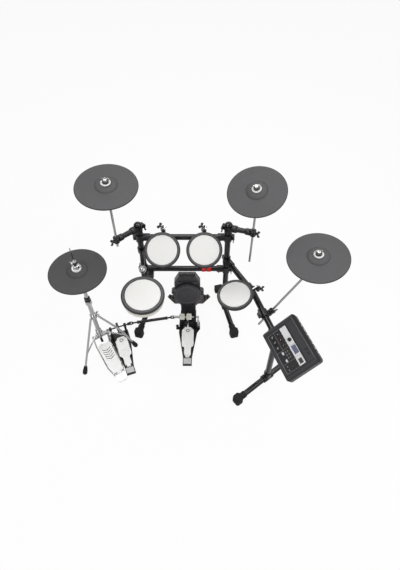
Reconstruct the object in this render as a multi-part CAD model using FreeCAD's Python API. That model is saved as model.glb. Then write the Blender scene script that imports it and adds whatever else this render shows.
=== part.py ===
import FreeCAD, Part
import math
import os

# An electronic drum kit on a tube rack, in millimetres.
# X runs to the drummer's right, Y away from the drummer, Z up from the floor.
# The origin is on the floor under the kick base.

# Rack tubes and their castings
TUBE_R = 19.0
TUBE_WALL = 2.0
SLIP = 0.2
POST_X = 277.0
POST_Y = 70.0
POST_TOP = 880.0
UPPER_Z = 771.0
LOWER_Z = 458.0
CASTING_WALL = 7.0
TEE_LENGTH = 58.0
SOCKET_REACH = 64.0
SOCKET_STEP = 1.5
TUBE_STOP = 3.0
EAR_REACH = 15.0
EAR_WIDTH = 26.0
EAR_HEIGHT = 30.0
EAR_SLIT = 3.0
CAP_HEIGHT = 14.0
CAP_LIP = 3.0
CAP_PLUG = 12.0
CAP_FLAT = 6.0

# Floor legs and rubber boots
LEG_Z = 33.0
LEG_SPLAY = 14.8
LEG_FRONT = 247.0
LEG_REAR = 140.0
WING_LEG_REAR = 199.0
WING_LEG_TURN = 51.6
BOOT_LENGTH = 88.0
BOOT_WIDTH = 60.0
BOOT_LIP = 4.0
BOOT_NECK = 26.0
BOOT_FLARE = 16.0
BOOT_CORNER = 18.0
BOOT_BITE = 48.0

# Wing to the right of the rack
WING_Z = 550.0
WING_BEND = (437.0, -200.0)
WING_POST = (552.0, -527.0)
WING_TOP = 608.0
WING_BEND_R = 90.0

# Wing bolts
BOLT_R = 4.0
BOLT_HUB_R = 7.5
BOLT_HUB = 11.0
BOLT_SPAN = 26.0
BOLT_RISE = 20.0
BOLT_BLADE = 5.0
BOLT_SEAT = 5.0
NUT_SHARE = 0.8
CLUTCH_BOLT_SHARE = 0.6

# Cymbal booms: rim centre, rim normal, clamp point and tail below the clamp
CYMBAL_ARM_Z = 852.0
CLAMP_RISE = 28.0
ROD_R = 7.0
LEFT_CRASH_AT = (-374.0, -83.0, 1313.0)
LEFT_CRASH_UP = (0.041, -0.068, 0.997)
LEFT_CLAMP = (-392.0, -53.0)
LEFT_TAIL = 60.0
RIGHT_CRASH_AT = (414.0, -8.0, 1213.0)
RIGHT_CRASH_UP = (-0.168, -0.246, 0.955)
RIGHT_CLAMP = (421.0, 3.0)
RIGHT_TAIL = 265.0
RIDE_AT = (722.0, -353.0, 1069.0)
RIDE_UP = (-0.114, -0.052, 0.992)
RIDE_CLAMP_RUN = 170.0
RIDE_OFFSET = 42.0
RIDE_TAIL = 152.0

# Offset clamps, one size for the booms and one for the drum pads
BOOM_SLEEVE = 50.0
BOOM_ARM_ROOT_R = 18.5
BOOM_ARM_TIP_R = 15.0
BOOM_GRIP_WALL = 12.0
BOOM_GRIP = 46.0
PAD_SLEEVE = 38.0
PAD_ARM_ROOT_R = 16.0
PAD_ARM_TIP_R = 11.5
PAD_GRIP_WALL = 8.0
PAD_GRIP = 38.0

# Cymbal tilter, spindle, felts and nut
TILTER_DROP = 46.0
BALL_R = 11.0
CUP_WALL = 4.5
CUP_LIP = 4.0
SPINDLE_R = 4.0
SLEEVE_R = 5.4
SLEEVE_SLACK = 0.8
SEAT_R = 15.0
SEAT_HEIGHT = 5.0
FELT_R = 27.0
LOWER_FELT_R = 20.0
FELT_HEIGHT = 10.0
TOP_FELT = 19.0
TOP_WASHER = 6.5
TOP_COLLAR_R = 17.0
SWING_GAP = 1.4
SWING_SLOPE = 9.0
NUT_HEIGHT = 13.0

# Cymbal pads
CYMBAL_R = 165.0
CYMBAL_EDGE = 7.0
CYMBAL_BOW = 10.0
BELL_R = 59.0
HUB_R = 28.0
HUB_RISE = 19.0
HUB_WEB = 6.0
JACK_BOX = (34.0, 26.0, 16.0)
JACK_BOX_RUN = 92.0

# Drum pads: head centre and head normal
TOM_R = 111.0
TOM_HEAD_R = 92.5
TOM_DEPTH = 42.0
SNARE_R = 130.0
SNARE_HEAD_R = 107.0
SNARE_DEPTH = 64.0
SNARE_RIM_DEPTH = 20.0
HEAD_THICK = 5.0
HEAD_DOME = 1.5
HEAD_FLAT = 10.0
RIM_RISE = 3.0
PAD_WALL = 5.0
LEDGE = 6.0
PAD_STEP = 8.0
PAD_CORNER = 12.0
PIECE_GAP = 0.3
LEFT_TOM_AT = (-129.0, -46.0, 780.0)
RIGHT_TOM_AT = (129.0, -46.0, 780.0)
TOM_UP = (0.0, -0.555, 0.832)
FLOOR_TOM_AT = (315.0, -275.0, 637.0)
FLOOR_TOM_UP = (-0.135, -0.006, 0.991)
SNARE_AT = (-236.0, -312.0, 684.0)
SNARE_UP = (0.041, -0.093, 0.995)

# L-rods that carry the drum pads: free end, bend and eye
PAD_ROD_R = 5.5
PAD_ROD_BEND = 22.0
EYE_R = 10.0
EYE_WIDTH = 18.0
EYE_PIN_R = 5.0
PIVOT_GAP = 0.25
PAD_EAR = 6.0
PAD_EAR_WIDTH = 26.0
TOM_ROD_Y = 110.0
TOM_ROD_TOP = 842.0
TOM_GRIP_RISE = 8.0
TOM_BOLT_TURN = 30.0
LOCK_R = 11.0
LOCK_HEIGHT = 12.0
LOCK_PIN_R = 3.5
LOCK_PIN = 24.0
TOM_ROD_LOW = 736.0
TOM_EYE_Y = 12.0
FLOOR_ROD_AT = (472.0, -160.0)
FLOOR_ROD_FOOT = 515.0
FLOOR_ROD_Z = 578.0
FLOOR_EYE = (340.0, -262.0)
FLOOR_CLAMP_RUN = 30.0
SNARE_ROD_AT = (-248.0, -140.0)
SNARE_ROD_TOP = 706.0
SNARE_BALL_R = 24.0
SNARE_ROD_Z = 598.0
SNARE_EYE_Y = -268.0
SNARE_CLAMP_Z = 655.0
SNARE_BOLT_TURN = 90.0

# Kick pad and tower
KICK_X = 10.0
KICK_Y = -18.0
KICK_Z = 262.0
KICK_LEAN = 7.0
KICK_R = 93.0
KICK_PAD_THICK = 26.0
KICK_RING = 10.0
TOWER_WIDTH = 180.0
TOWER_WAIST = 104.0
WAIST_TOP = 60.0
WAIST_LOW = 116.0
CHANNEL_WIDTH = 72.0
CHANNEL_RISE = 9.0
TOWER_TOP = 424.0
TOWER_TOP_WIDTH = 114.0
TOWER_SHOULDER = 62.0
TOWER_DEPTH = 46.0
TOWER_WALL = 5.0
TOWER_FOOT = 8.0
LUG_R = 21.0
LUG_RUN = 94.0
LUG_Z = 252.0
TOWER_BOSS_R = 11.0
TOWER_BOSS_X = 54.0
TOWER_BOSS_Z = 366.0
TOWER_BOSS_RISE = 10.0
KICK_PLATE = 6.0
KICK_NECK = 108.0
KICK_BACK = 176.0
KICK_WING = 164.0
KICK_WING_FRONT = 95.0
BLADE_SWEEP = 56.0
BLADE_TIP = 20.0
BLADE_CORNER = 18.0
TOWER_SCREW_R = 5.0
TOWER_SCREW_X = 29.0
TOWER_SCREW_Z = 60.0
SPIKE_R = 5.0
STAY_R = 7.0

# Pedals, heel end at local y 0, toe along +y
PEDAL_Y = -432.0
SLAVE_HEEL = (-370.0, -497.0)
SLAVE_TURN = 20.5
BASE_PLATE = 4.0
HEEL_WIDTH = 63.0
HEEL_CORNER = 6.0
HEEL_LENGTH = 52.0
HEEL_HEIGHT = 24.0
HINGE_Y = 62.0
HINGE_Z = 22.0
HINGE_R = 8.0
HINGE_PIN_R = 3.5
HINGE_HALF = 14.0
TOE_Y = 285.0
TOE_RISE = 8.3
BOARD_WIDTH = 84.0
NECK_WIDTH = 47.0
NECK_Y = 142.0
TOE_CHAMFER = 25.0
TOE_WIDTH = 41.0
BOARD_THICK = 7.0
BOARD_RIB = 4.0
AXLE_Y = 329.0
AXLE_Z = 118.0
AXLE_R = 5.0
AUX_R = 9.0
STANCHION_X = 52.0
STANCHION_THICK = 14.0
STANCHION_TOP = 15.0
STANCHION_FOOT = 52.0
CAM_R = 33.0
CAM_WIDTH = 16.0
MAIN_BEATER_X = 14.0
AUX_BEATER_X = -33.0
BEATER_ARM = 157.0
BEATER_REST = 122.0
BEATER_ROD_R = 4.0
BEATER_HUB_R = 13.0
BEATER_HUB = 18.0
BEATER_HEAD_R = 21.0
BEATER_HEAD_WIDTH = 36.0
SPRING_X = 74.0
ROCKER = 26.0
ROCKER_WIDTH = 8.0
ROCKER_EYE_R = 5.0
PEG_R = 2.0
PEG_PROUD = 0.5
SPRING_COIL_R = 7.0
SPRING_WIRE_R = 1.2
SPRING_TURNS = 11
SPRING_FOOT = 30.0
CHAIN_WIDTH = 11.0
CHAIN_THICK = 4.0
CHAIN_LINKS = 4
CHAIN_GAP = 0.5
BASE_SIDE = 86.0
BASE_EDGE = 6.0
JAW_WIDTH = 66.0
JAW_REACH = 22.0
JAW_LIP = 6.0

# Drive shaft between the two pedals
SHAFT_R = 6.0
SHAFT_SLEEVE_R = 9.0
JOINT_RUN = 92.0
AUX_JOINT_RUN = 104.0
YOKE_R = 10.0
YOKE_BACK = 22.0
YOKE_HUB = 10.0
YOKE_EAR = 3.5
YOKE_OPEN = 7.5
YOKE_TIP = 5.5
SPIDER_R = 5.0
SPIDER_TIP_R = 0.8

# Hi-hat
HIHAT_AT = (-586.0, -284.0)
HIHAT_HEEL = (-420.0, -545.0)
HIHAT_Z = 870.0
HIHAT_TRAVEL = 12.0
HIHAT_ROD_R = 3.2
HIHAT_ROD_TOP = 1063.0
HIHAT_LOWER_R = 14.0
HIHAT_UPPER_R = 11.0
HIHAT_FOOT_Z = 176.0
HIHAT_SPLIT = 572.0
COLLAR_WALL = 7.0
COLLAR_HEIGHT = 34.0
LEG_COLLAR_Z = 410.0
STRUT_COLLAR_Z = 222.0
HIHAT_FEET = ((-690.0, -485.0), (-363.0, -272.0))
HIHAT_ARCHES = (0.0, 26.0)
HIHAT_ARCH_R = 600.0
HIHAT_LEG_R = 7.0
HIHAT_STRUT_R = 5.0
STRUT_SHARE = 0.3
FOOT_R = 16.0
FOOT_HEIGHT = 54.0
FOOT_TIP = 13.0
SEAT_CUP_R = 24.0
SEAT_CUP = 12.0
SENSOR_R = 46.0
SENSOR_DEPTH = 20.0
CLUTCH_R = 12.0
CLUTCH_LENGTH = 62.0
CLUTCH_FLANGE = 8.0
CLUTCH_BARREL = 26.0
PULL_REACH = 40.0
STRAP_WIDTH = 16.0
STRAP_THICK = 5.0
HIHAT_TOE_RISE = 17.0
HIHAT_TOE_RUN = 296.0
HIHAT_BOARD_TOE = 86.0
HIHAT_BOARD_HEEL = 74.0
HIHAT_TOE_ROUND = 20.0
HIHAT_HEEL_WIDTH = 71.0
HIHAT_HEEL_CORNER = 20.0
FRAME_ROD_R = 5.0
FRAME_ROD_X = 50.5
FRAME_BEND_Z = 44.0
FRAME_NECK_Z = 14.0
FRAME_BEND_R = 12.0

# Sound module: panel centre, turn of its long side and tilt to the drummer
MODULE_AT = (576.0, -680.5, 690.0)
MODULE_TURN = -69.0
MODULE_TILT = 38.0
CASE_LENGTH = 316.0
CASE_NEAR = 82.0
CASE_FAR = 113.0
CASE_DEPTH = 60.0
CASE_BEVEL = 17.0
CASE_CORNER = 16.0
CASE_END_SLOPE = 10.0
CASE_END_RISE = 18.0
CASE_END_RUN = 42.0
CASE_CHEEK = 26.0
CASE_GROOVE = 1.8
CASE_RIM = 8.0
PANEL_LENGTH = 250.0
PANEL_WIDTH = 134.0
PANEL_THICK = 3.0
PANEL_RECESS = 1.0
SCREEN = (52.0, 27.0)
SCREEN_AT = (28.0, 40.0)
SCREEN_THICK = 1.6
KNOB_COLUMNS = (-42.0, -4.0)
KNOB_ROWS = (-94.0, -58.0, -22.0)
KNOB_R = 8.0
KNOB_HEIGHT = 13.0
STEM_R = 3.0
STEM_LENGTH = 9.0
DIAL_AT = (-35.0, 40.0)
DIAL_R = 11.0
DIAL_HEIGHT = 14.0
BUTTON_ROWS = (12.0, 58.0)
BUTTON_COLUMN = -31.0
BUTTON = (18.0, 10.0)
BUTTON_HEIGHT = 4.0
BUTTON_TRAVEL = 1.5
MODULE_SHAFT_R = 8.0
MODULE_BARREL_R = 15.0
MODULE_BARREL = 60.0
MODULE_DROP = 18.0
MOUNT_Z = 593.0
MOUNT_HEIGHT = 26.0
MOUNT_ARM_DROP = 8.0
MOUNT_ARM_R = 12.0
MOUNT_TIP_R = 11.5

NODES = {}


def vec(x, y, z):
    return FreeCAD.Vector(x, y, z)


def unit(v):
    u = FreeCAD.Vector(v)
    u.normalize()
    return u


def keep(name, *solids):
    NODES[name] = solids[0] if len(solids) == 1 else Part.makeCompound(list(solids))


def rod(start, end, radius):
    return Part.makeCylinder(radius, (end - start).Length, start, end - start)


def barrel(centre, axis, radius, length):
    start = centre - unit(axis) * (length / 2)
    return Part.makeCylinder(radius, length, start, axis)


def tube(start, end, outer, wall):
    return rod(start, end, outer).cut(rod(start, end, outer - wall))


def fuse(first, *others):
    return first.multiFuse(list(others)).removeSplitter()


def outline(points):
    """Closed flat face; a point of four numbers ends an arc through its last two."""
    edges = []
    for i in range(len(points)):
        a = points[i]
        b = points[(i + 1) % len(points)]
        start = vec(a[0], a[1], 0)
        end = vec(b[0], b[1], 0)
        if len(b) == 4:
            edges.append(Part.Arc(start, vec(b[2], b[3], 0), end).toShape())
        else:
            edges.append(Part.makeLine(start, end))
    return Part.Face(Part.Wire(edges))


def slab(points, low, high):
    face = outline(points)
    face.translate(vec(0, 0, low))
    return face.extrude(vec(0, 0, high - low))


def side_slab(points, low, high):
    """Outline in y and z, thick along x."""
    body = slab(points, low, high)
    body.rotate(vec(0, 0, 0), vec(1, 1, 1), 120)
    return body


def front_slab(points, low, high):
    """Outline in x and z, thick along y from low to high."""
    body = slab(points, -high, -low)
    body.rotate(vec(0, 0, 0), vec(1, 0, 0), 90)
    return body


def lathe(points):
    """Outline in radius and height, turned about the z axis."""
    body = outline(points).revolve(vec(0, 0, 0), vec(0, 1, 0), 360)
    body.rotate(vec(0, 0, 0), vec(1, 0, 0), 90)
    return body


def round_box(x0, x1, y0, y1, corner):
    c = corner * (1 - math.sqrt(0.5))
    return [(x0 + corner, y0), (x1 - corner, y0), (x1, y0 + corner, x1 - c, y0 + c),
            (x1, y1 - corner), (x1 - corner, y1, x1 - c, y1 - c), (x0 + corner, y1),
            (x0, y1 - corner, x0 + c, y1 - c), (x0, y0 + corner),
            (x0 + corner, y0, x0 + c, y0 + c)][1:]


def seat(origin, x_axis, z_axis):
    """Place whose local z is z_axis and whose local x leans towards x_axis."""
    z = unit(z_axis)
    y = unit(z.cross(x_axis))
    x = y.cross(z)
    return FreeCAD.Placement(origin, FreeCAD.Rotation(x, y, z, "ZXY"))


def put(shape, place):
    moved = shape.copy()
    moved.Placement = place.multiply(moved.Placement)
    return moved


def route(points, radius):
    """Straight runs joined by tangent arcs of one radius."""
    edges = []
    last = points[0]
    for i in range(1, len(points) - 1):
        back = unit(points[i - 1] - points[i])
        ahead = unit(points[i + 1] - points[i])
        half = back.getAngle(ahead) / 2
        run = radius / math.tan(half)
        centre = points[i] + unit(back + ahead) * (radius / math.sin(half))
        middle = centre - unit(back + ahead) * radius
        edges.append(Part.makeLine(last, points[i] + back * run))
        edges.append(Part.Arc(points[i] + back * run, middle, points[i] + ahead * run).toShape())
        last = points[i] + ahead * run
    edges.append(Part.makeLine(last, points[-1]))
    return Part.Wire(edges)


def bent_rod(points, bend, radius):
    circle = Part.Wire(Part.makeCircle(radius, points[0], points[1] - points[0]))
    return route(points, bend).makePipeShell([circle], True, False)


def sway(x0, y0, x1, y1):
    """Two arcs that carry an outline smoothly from one straight side to another."""
    dx = (x1 - x0) / 2
    dy = (y1 - y0) / 2
    radius = (dx * dx + dy * dy) / (2 * abs(dx))
    half = math.atan2(abs(dy), radius - abs(dx)) / 2
    over = math.copysign(radius * (1 - math.cos(half)), dx)
    along = math.copysign(radius * math.sin(half), dy)
    return [(x0 + dx, y0 + dy, x0 + over, y0 + along), (x1, y1, x1 - over, y1 - along)]


def wing_bolt(at, out, spin, grip, share=1.0):
    """Thumb bolt that points into the work along -out; share scales its head and stem."""
    hub_r = BOLT_HUB_R * share
    height = BOLT_HUB * share
    span = BOLT_SPAN * share
    rise = BOLT_RISE * share
    blade = BOLT_BLADE * share
    hub = Part.makeCylinder(hub_r, height)
    stem = Part.makeCylinder(BOLT_R * share, grip, vec(0, 0, -grip))
    root = hub_r - share
    tip = span - 6 * share
    low = height * 0.3
    half = [(root, share), (tip, low), (tip - 2 * share, rise, span, (low + rise) / 2)]
    wings = half + [(root - share, height - share), (share - root, height - share)]
    wings += [(2 * share - tip, rise), (-tip, low, -span, (low + rise) / 2), (-root, share)]
    plate = front_slab(wings, -blade / 2, blade / 2)
    return put(fuse(hub, stem, plate), seat(at, spin, out))


def wing_nut(at, out, spin, height, bore):
    """Thumb nut that stands on its seat at the given point."""
    body = wing_bolt(vec(0, 0, 0), vec(0, 0, 1), vec(1, 0, 0), 1, NUT_SHARE)
    block = Part.makeBox(4 * BOLT_SPAN, 4 * BOLT_SPAN, BOLT_SPAN)
    block.translate(vec(-2 * BOLT_SPAN, -2 * BOLT_SPAN, -BOLT_SPAN))
    hole = Part.makeCylinder(bore, 4 * height, vec(0, 0, -height))
    return put(body.cut(block).cut(hole), seat(at, spin, out))


def pinch_ear(at, through, side):
    """Split ear on a sleeve, away from side: its solid, slit, bolt hole and bolt."""
    cross = unit(through.cross(side))
    outer = TUBE_R + CASTING_WALL
    place = seat(at, side, through)
    ear = slab(round_box(-outer - EAR_REACH, 0, -EAR_WIDTH / 2, EAR_WIDTH / 2, 5),
               -EAR_HEIGHT / 2, EAR_HEIGHT / 2)
    slit = Part.makeBox(2 * outer, EAR_SLIT, 2 * TEE_LENGTH)
    slit.translate(vec(-2 * outer - TUBE_R / 2, -EAR_SLIT / 2, -TEE_LENGTH))
    bolt_at = at - side * (outer + EAR_REACH / 2)
    hole = barrel(bolt_at, cross, BOLT_R + SLIP, 2 * EAR_WIDTH)
    bolt = wing_bolt(bolt_at + cross * (EAR_WIDTH / 2), cross, through, EAR_WIDTH - 4)
    return put(ear, place), put(slit, place), hole, bolt


def tee_casting(at, through, side):
    """Clamp that grips one tube all round and holds the end of another."""
    side = unit(side)
    outer = TUBE_R + CASTING_WALL
    sleeve = barrel(at, through, outer, TEE_LENGTH)
    socket = rod(at, at + side * SOCKET_REACH, outer - SOCKET_STEP)
    ear, slit, hole, bolt = pinch_ear(at, through, side)
    body = fuse(sleeve, socket, ear)
    bore = barrel(at, through, TUBE_R + SLIP, 2 * TEE_LENGTH)
    pocket = rod(at + side * (TUBE_R + TUBE_STOP), at + side * 2 * SOCKET_REACH, TUBE_R + SLIP)
    return body.cut(bore).cut(pocket).cut(slit).cut(hole), bolt


def leg_tee(at, along):
    """Plain tee that stands a post on its floor leg."""
    outer = TUBE_R + CASTING_WALL
    up = vec(0, 0, 1)
    body = fuse(barrel(at, along, outer, TEE_LENGTH * 1.3),
                rod(at, at + up * SOCKET_REACH, outer - SOCKET_STEP))
    bore = barrel(at, along, TUBE_R + SLIP, 3 * TEE_LENGTH)
    pocket = rod(at + up * (TUBE_R + TUBE_STOP), at + up * 2 * SOCKET_REACH, TUBE_R + SLIP)
    return body.cut(bore).cut(pocket)


def offset_clamp(tube_at, tube_axis, rod_at, rod_axis, rod_r, bolt_turn, sizes):
    """Arm with a sleeve on a rack tube and a rod grip, its bolt turned about the rod.

    The sizes are sleeve length, arm radius at root and tip, grip wall and grip length.
    """
    sleeve_length, root_r, tip_r, wall, grip_length = sizes
    reach = rod_at - tube_at
    face = rod_r + wall
    arm = Part.makeCone(root_r, tip_r, reach.Length, tube_at, reach)
    sleeve = barrel(tube_at, tube_axis, TUBE_R + CASTING_WALL, sleeve_length)
    grip = lathe([(0, -grip_length / 2), (face - 3, -grip_length / 2), (face, 3 - grip_length / 2),
                  (face, grip_length / 2 - 3), (face - 3, grip_length / 2), (0, grip_length / 2)])
    grip = put(grip, seat(rod_at, reach, rod_axis))
    out = unit(reach)
    out = unit(out - unit(rod_axis) * out.dot(unit(rod_axis)))
    out = FreeCAD.Rotation(rod_axis, bolt_turn).multVec(out)
    boss = rod(rod_at, rod_at + out * (face + BOLT_SEAT), BOLT_HUB_R + 2)
    body = fuse(sleeve, arm, grip, boss)
    body = body.cut(barrel(tube_at, tube_axis, TUBE_R + SLIP, 3 * sleeve_length))
    body = body.cut(barrel(rod_at, rod_axis, rod_r + SLIP, 3 * grip_length))
    body = body.cut(rod(rod_at, rod_at + out * (face + 2 * BOLT_SEAT), BOLT_R + SLIP))
    bolt = wing_bolt(rod_at + out * (face + BOLT_SEAT), out, rod_axis, face + BOLT_SEAT - rod_r - SLIP)
    return body, bolt


def boom_clamp(tube_at, tube_axis, rod_at, rod_axis):
    """Offset clamp for a boom, with a split ear and a second bolt on its sleeve."""
    sizes = (BOOM_SLEEVE, BOOM_ARM_ROOT_R, BOOM_ARM_TIP_R, BOOM_GRIP_WALL, BOOM_GRIP)
    body, rod_bolt = offset_clamp(tube_at, tube_axis, rod_at, rod_axis, ROD_R, 0, sizes)
    reach = rod_at - tube_at
    side = unit(reach - unit(tube_axis) * reach.dot(unit(tube_axis)))
    ear, slit, hole, ear_bolt = pinch_ear(tube_at, tube_axis, side)
    ear = ear.cut(barrel(tube_at, tube_axis, TUBE_R + SLIP, 3 * BOOM_SLEEVE))
    return fuse(body, ear).cut(slit).cut(hole), [rod_bolt, ear_bolt]


def leg_direction(side):
    turn = math.radians(LEG_SPLAY)
    return vec(side * math.sin(turn), -math.cos(turn), 0)


def wing_leg_direction():
    turn = math.radians(WING_LEG_TURN)
    return vec(-math.sin(turn), -math.cos(turn), 0)


def leg_table():
    """Post foot, direction to the front boot, front length and rear length."""
    return [(vec(-POST_X, POST_Y, LEG_Z), leg_direction(-1), LEG_FRONT, LEG_REAR),
            (vec(POST_X, POST_Y, LEG_Z), leg_direction(1), LEG_FRONT, LEG_REAR),
            (vec(WING_POST[0], WING_POST[1], LEG_Z), wing_leg_direction(), LEG_FRONT, WING_LEG_REAR)]


def boot():
    """Rubber boot with a round neck for the tube along local -x and a broad foot on z 0."""
    back = -BOOT_LENGTH / 2
    front = BOOT_LENGTH / 2
    half = BOOT_WIDTH / 2
    mouth = TUBE_R + BOOT_LIP
    neck = back + BOOT_NECK
    flare = neck + BOOT_FLARE
    crown = LEG_Z + mouth + BOOT_LIP / 2
    corner = BOOT_CORNER
    bend = corner * 0.29
    root = mouth * 0.7
    side = [(neck, LEG_Z - root), (flare, 0), (front - BOOT_LIP, 0), (front, BOOT_LIP), (front, crown / 2),
            (front - corner, crown, front - bend, crown * 0.86), (flare, crown), (neck, LEG_Z + root)]
    top = [(neck, -root), (flare, -half), (front - corner, -half),
           (front, corner - half, front - bend, bend - half), (front, half - corner),
           (front - corner, half, front - bend, half - bend), (flare, half), (neck, root)]
    foot = front_slab(side, -half, half).common(slab(top, 0, crown))
    sleeve = rod(vec(back, 0, LEG_Z), vec(flare, 0, LEG_Z), mouth)
    bore = rod(vec(2 * back, 0, LEG_Z), vec(back + BOOT_BITE, 0, LEG_Z), TUBE_R + SLIP)
    return fuse(foot, sleeve).cut(bore)


def build_rack():
    stop = TUBE_R + TUBE_STOP + SLIP
    posts = []
    caps = []
    legs = []
    feet = []
    castings = []
    bolts = []
    tops = (POST_TOP, POST_TOP, WING_TOP)
    for (foot, along, front, rear), top in zip(leg_table(), tops):
        crown = vec(foot.x, foot.y, top)
        posts.append(tube(foot + vec(0, 0, stop), crown, TUBE_R, TUBE_WALL))
        cap = lathe([(0, -CAP_PLUG), (TUBE_R - TUBE_WALL - SLIP, -CAP_PLUG),
                     (TUBE_R - TUBE_WALL - SLIP, 0), (TUBE_R + CAP_LIP, 0),
                     (TUBE_R + CAP_LIP, CAP_HEIGHT * 0.4),
                     (CAP_FLAT, CAP_HEIGHT, TUBE_R * 0.8, CAP_HEIGHT * 0.82), (0, CAP_HEIGHT)])
        caps.append(put(cap, seat(crown, vec(1, 0, 0), vec(0, 0, 1))))
        legs.append(tube(foot - along * rear, foot + along * front, TUBE_R, TUBE_WALL))
        castings.append(leg_tee(foot, along))
        for way, length in ((along, front), (-along, rear)):
            middle = foot + way * (length + BOOT_LENGTH / 2 - BOOT_BITE + SLIP)
            feet.append(put(boot(), seat(vec(middle.x, middle.y, 0), way, vec(0, 0, 1))))
    bars = []
    for z in (UPPER_Z, LOWER_Z):
        left = vec(-POST_X, POST_Y, z)
        right = vec(POST_X, POST_Y, z)
        across = vec(1, 0, 0)
        bars.append(tube(left + across * stop, right - across * stop, TUBE_R, TUBE_WALL))
        for at, side in ((left, across), (right, -across)):
            casting, bolt = tee_casting(at, vec(0, 0, 1), side)
            castings.append(casting)
            bolts.append(bolt)
    start, bend, end = wing_points()
    first = unit(bend - start)
    last = unit(bend - end)
    path = [start + first * stop, bend, end + last * stop]
    arm = bent_rod(path, WING_BEND_R, TUBE_R).cut(bent_rod(path, WING_BEND_R, TUBE_R - TUBE_WALL))
    for at, side in ((start, first), (end, last)):
        casting, bolt = tee_casting(at, vec(0, 0, 1), side)
        castings.append(casting)
        bolts.append(bolt)
    keep("rack_posts", *(posts + caps))
    keep("crossbars", *bars)
    keep("wing_arm", arm)
    keep("floor_legs", *legs)
    keep("rack_clamps", *castings)
    return feet, bolts


def wing_points():
    return (vec(POST_X, POST_Y, WING_Z), vec(WING_BEND[0], WING_BEND[1], WING_Z),
            vec(WING_POST[0], WING_POST[1], WING_Z))


def boom_table():
    """Cymbal centre, normal, tube point, tube axis, rod point and rod tail."""
    up = vec(0, 0, 1)
    start, bend, end = wing_points()
    run = unit(end - bend)
    ride_tube = bend + run * RIDE_CLAMP_RUN
    ride_rod = ride_tube + run.cross(up) * -RIDE_OFFSET
    clamp_z = CYMBAL_ARM_Z + CLAMP_RISE
    return [(vec(*LEFT_CRASH_AT), unit(vec(*LEFT_CRASH_UP)), vec(-POST_X, POST_Y, CYMBAL_ARM_Z), up,
             vec(*LEFT_CLAMP, clamp_z), LEFT_TAIL),
            (vec(*RIGHT_CRASH_AT), unit(vec(*RIGHT_CRASH_UP)), vec(POST_X, POST_Y, CYMBAL_ARM_Z), -up,
             vec(*RIGHT_CLAMP, clamp_z), RIGHT_TAIL),
            (vec(*RIDE_AT), unit(vec(*RIDE_UP)), ride_tube, run, ride_rod, RIDE_TAIL)]


def boom(pivot, rod_axis, low, normal):
    """Rod with a cup on top, and the ball spindle that stands in it."""
    cup_r = BALL_R + CUP_WALL
    cup = Part.makeSphere(cup_r)
    lid = Part.makeBox(4 * cup_r, 4 * cup_r, 2 * cup_r)
    lid.translate(vec(-2 * cup_r, -2 * cup_r, CUP_LIP))
    stem = Part.makeCylinder(ROD_R, (pivot - low).Length - BALL_R, vec(0, 0, -(pivot - low).Length))
    body = fuse(cup.cut(lid), stem).cut(Part.makeSphere(BALL_R + SLIP))
    seat_low = TILTER_DROP + HUB_RISE - HUB_WEB / 2 - SWING_GAP - FELT_HEIGHT - SEAT_HEIGHT
    thread_top = TILTER_DROP + HUB_RISE + HUB_WEB / 2 + SWING_GAP + TOP_FELT + NUT_HEIGHT
    sleeve_top = thread_top - NUT_HEIGHT - 1
    spindle = fuse(Part.makeSphere(BALL_R), Part.makeCylinder(SPINDLE_R, thread_top),
                   Part.makeCylinder(SLEEVE_R, sleeve_top - seat_low, vec(0, 0, seat_low)),
                   Part.makeCone(SPINDLE_R + 1, SEAT_R, SEAT_HEIGHT, vec(0, 0, seat_low)))
    return put(body, seat(pivot, vec(1, 0, 0), rod_axis)), put(spindle, seat(pivot, vec(1, 0, 0), normal))


def felt(radius, bottom, rising):
    """Washer with one face sloped so that the pad can rock; the rising one has a collar."""
    bore = SLEEVE_R + SLIP
    slope = (radius - bore) * math.tan(math.radians(SWING_SLOPE))
    if rising:
        ring = bottom + TOP_WASHER
        top = bottom + TOP_FELT
        return lathe([(bore, bottom), (radius, bottom + slope), (radius, ring - 1), (radius - 1, ring),
                      (TOP_COLLAR_R, ring), (TOP_COLLAR_R, top - 2), (TOP_COLLAR_R - 2, top), (bore, top)])
    return lathe([(bore, bottom), (radius - 1, bottom), (radius, bottom + 1),
                  (radius, bottom + FELT_HEIGHT - slope), (bore, bottom + FELT_HEIGHT)])


def cymbal(underside_box):
    """Bowed pad with a raised bell, rim centre at the origin."""
    hole = SLEEVE_R + SLEEVE_SLACK
    hub_low = HUB_RISE - HUB_WEB / 2
    hub_top = HUB_RISE + HUB_WEB / 2
    half = CYMBAL_EDGE / 2
    mid = (CYMBAL_R + BELL_R) / 2
    profile = [(hole, hub_low), (HUB_R - 4, hub_low), (BELL_R - 8, 1), (CYMBAL_R - 14, -half - 1.5),
               (CYMBAL_R - half, -half), (CYMBAL_R - half, half, CYMBAL_R, 0),
               (BELL_R, CYMBAL_BOW, mid, half + (CYMBAL_BOW - half) * 0.62),
               (HUB_R, hub_top, (BELL_R + HUB_R) / 2 + 2, CYMBAL_BOW + (hub_top - CYMBAL_BOW) * 0.66),
               (hole, hub_top)]
    body = lathe(profile)
    if not underside_box:
        return body
    length, width, depth = JACK_BOX
    box = slab(round_box(-width / 2, width / 2, JACK_BOX_RUN - length / 2, JACK_BOX_RUN + length / 2, 6),
               -depth, 0)
    return fuse(body, box)


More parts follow.
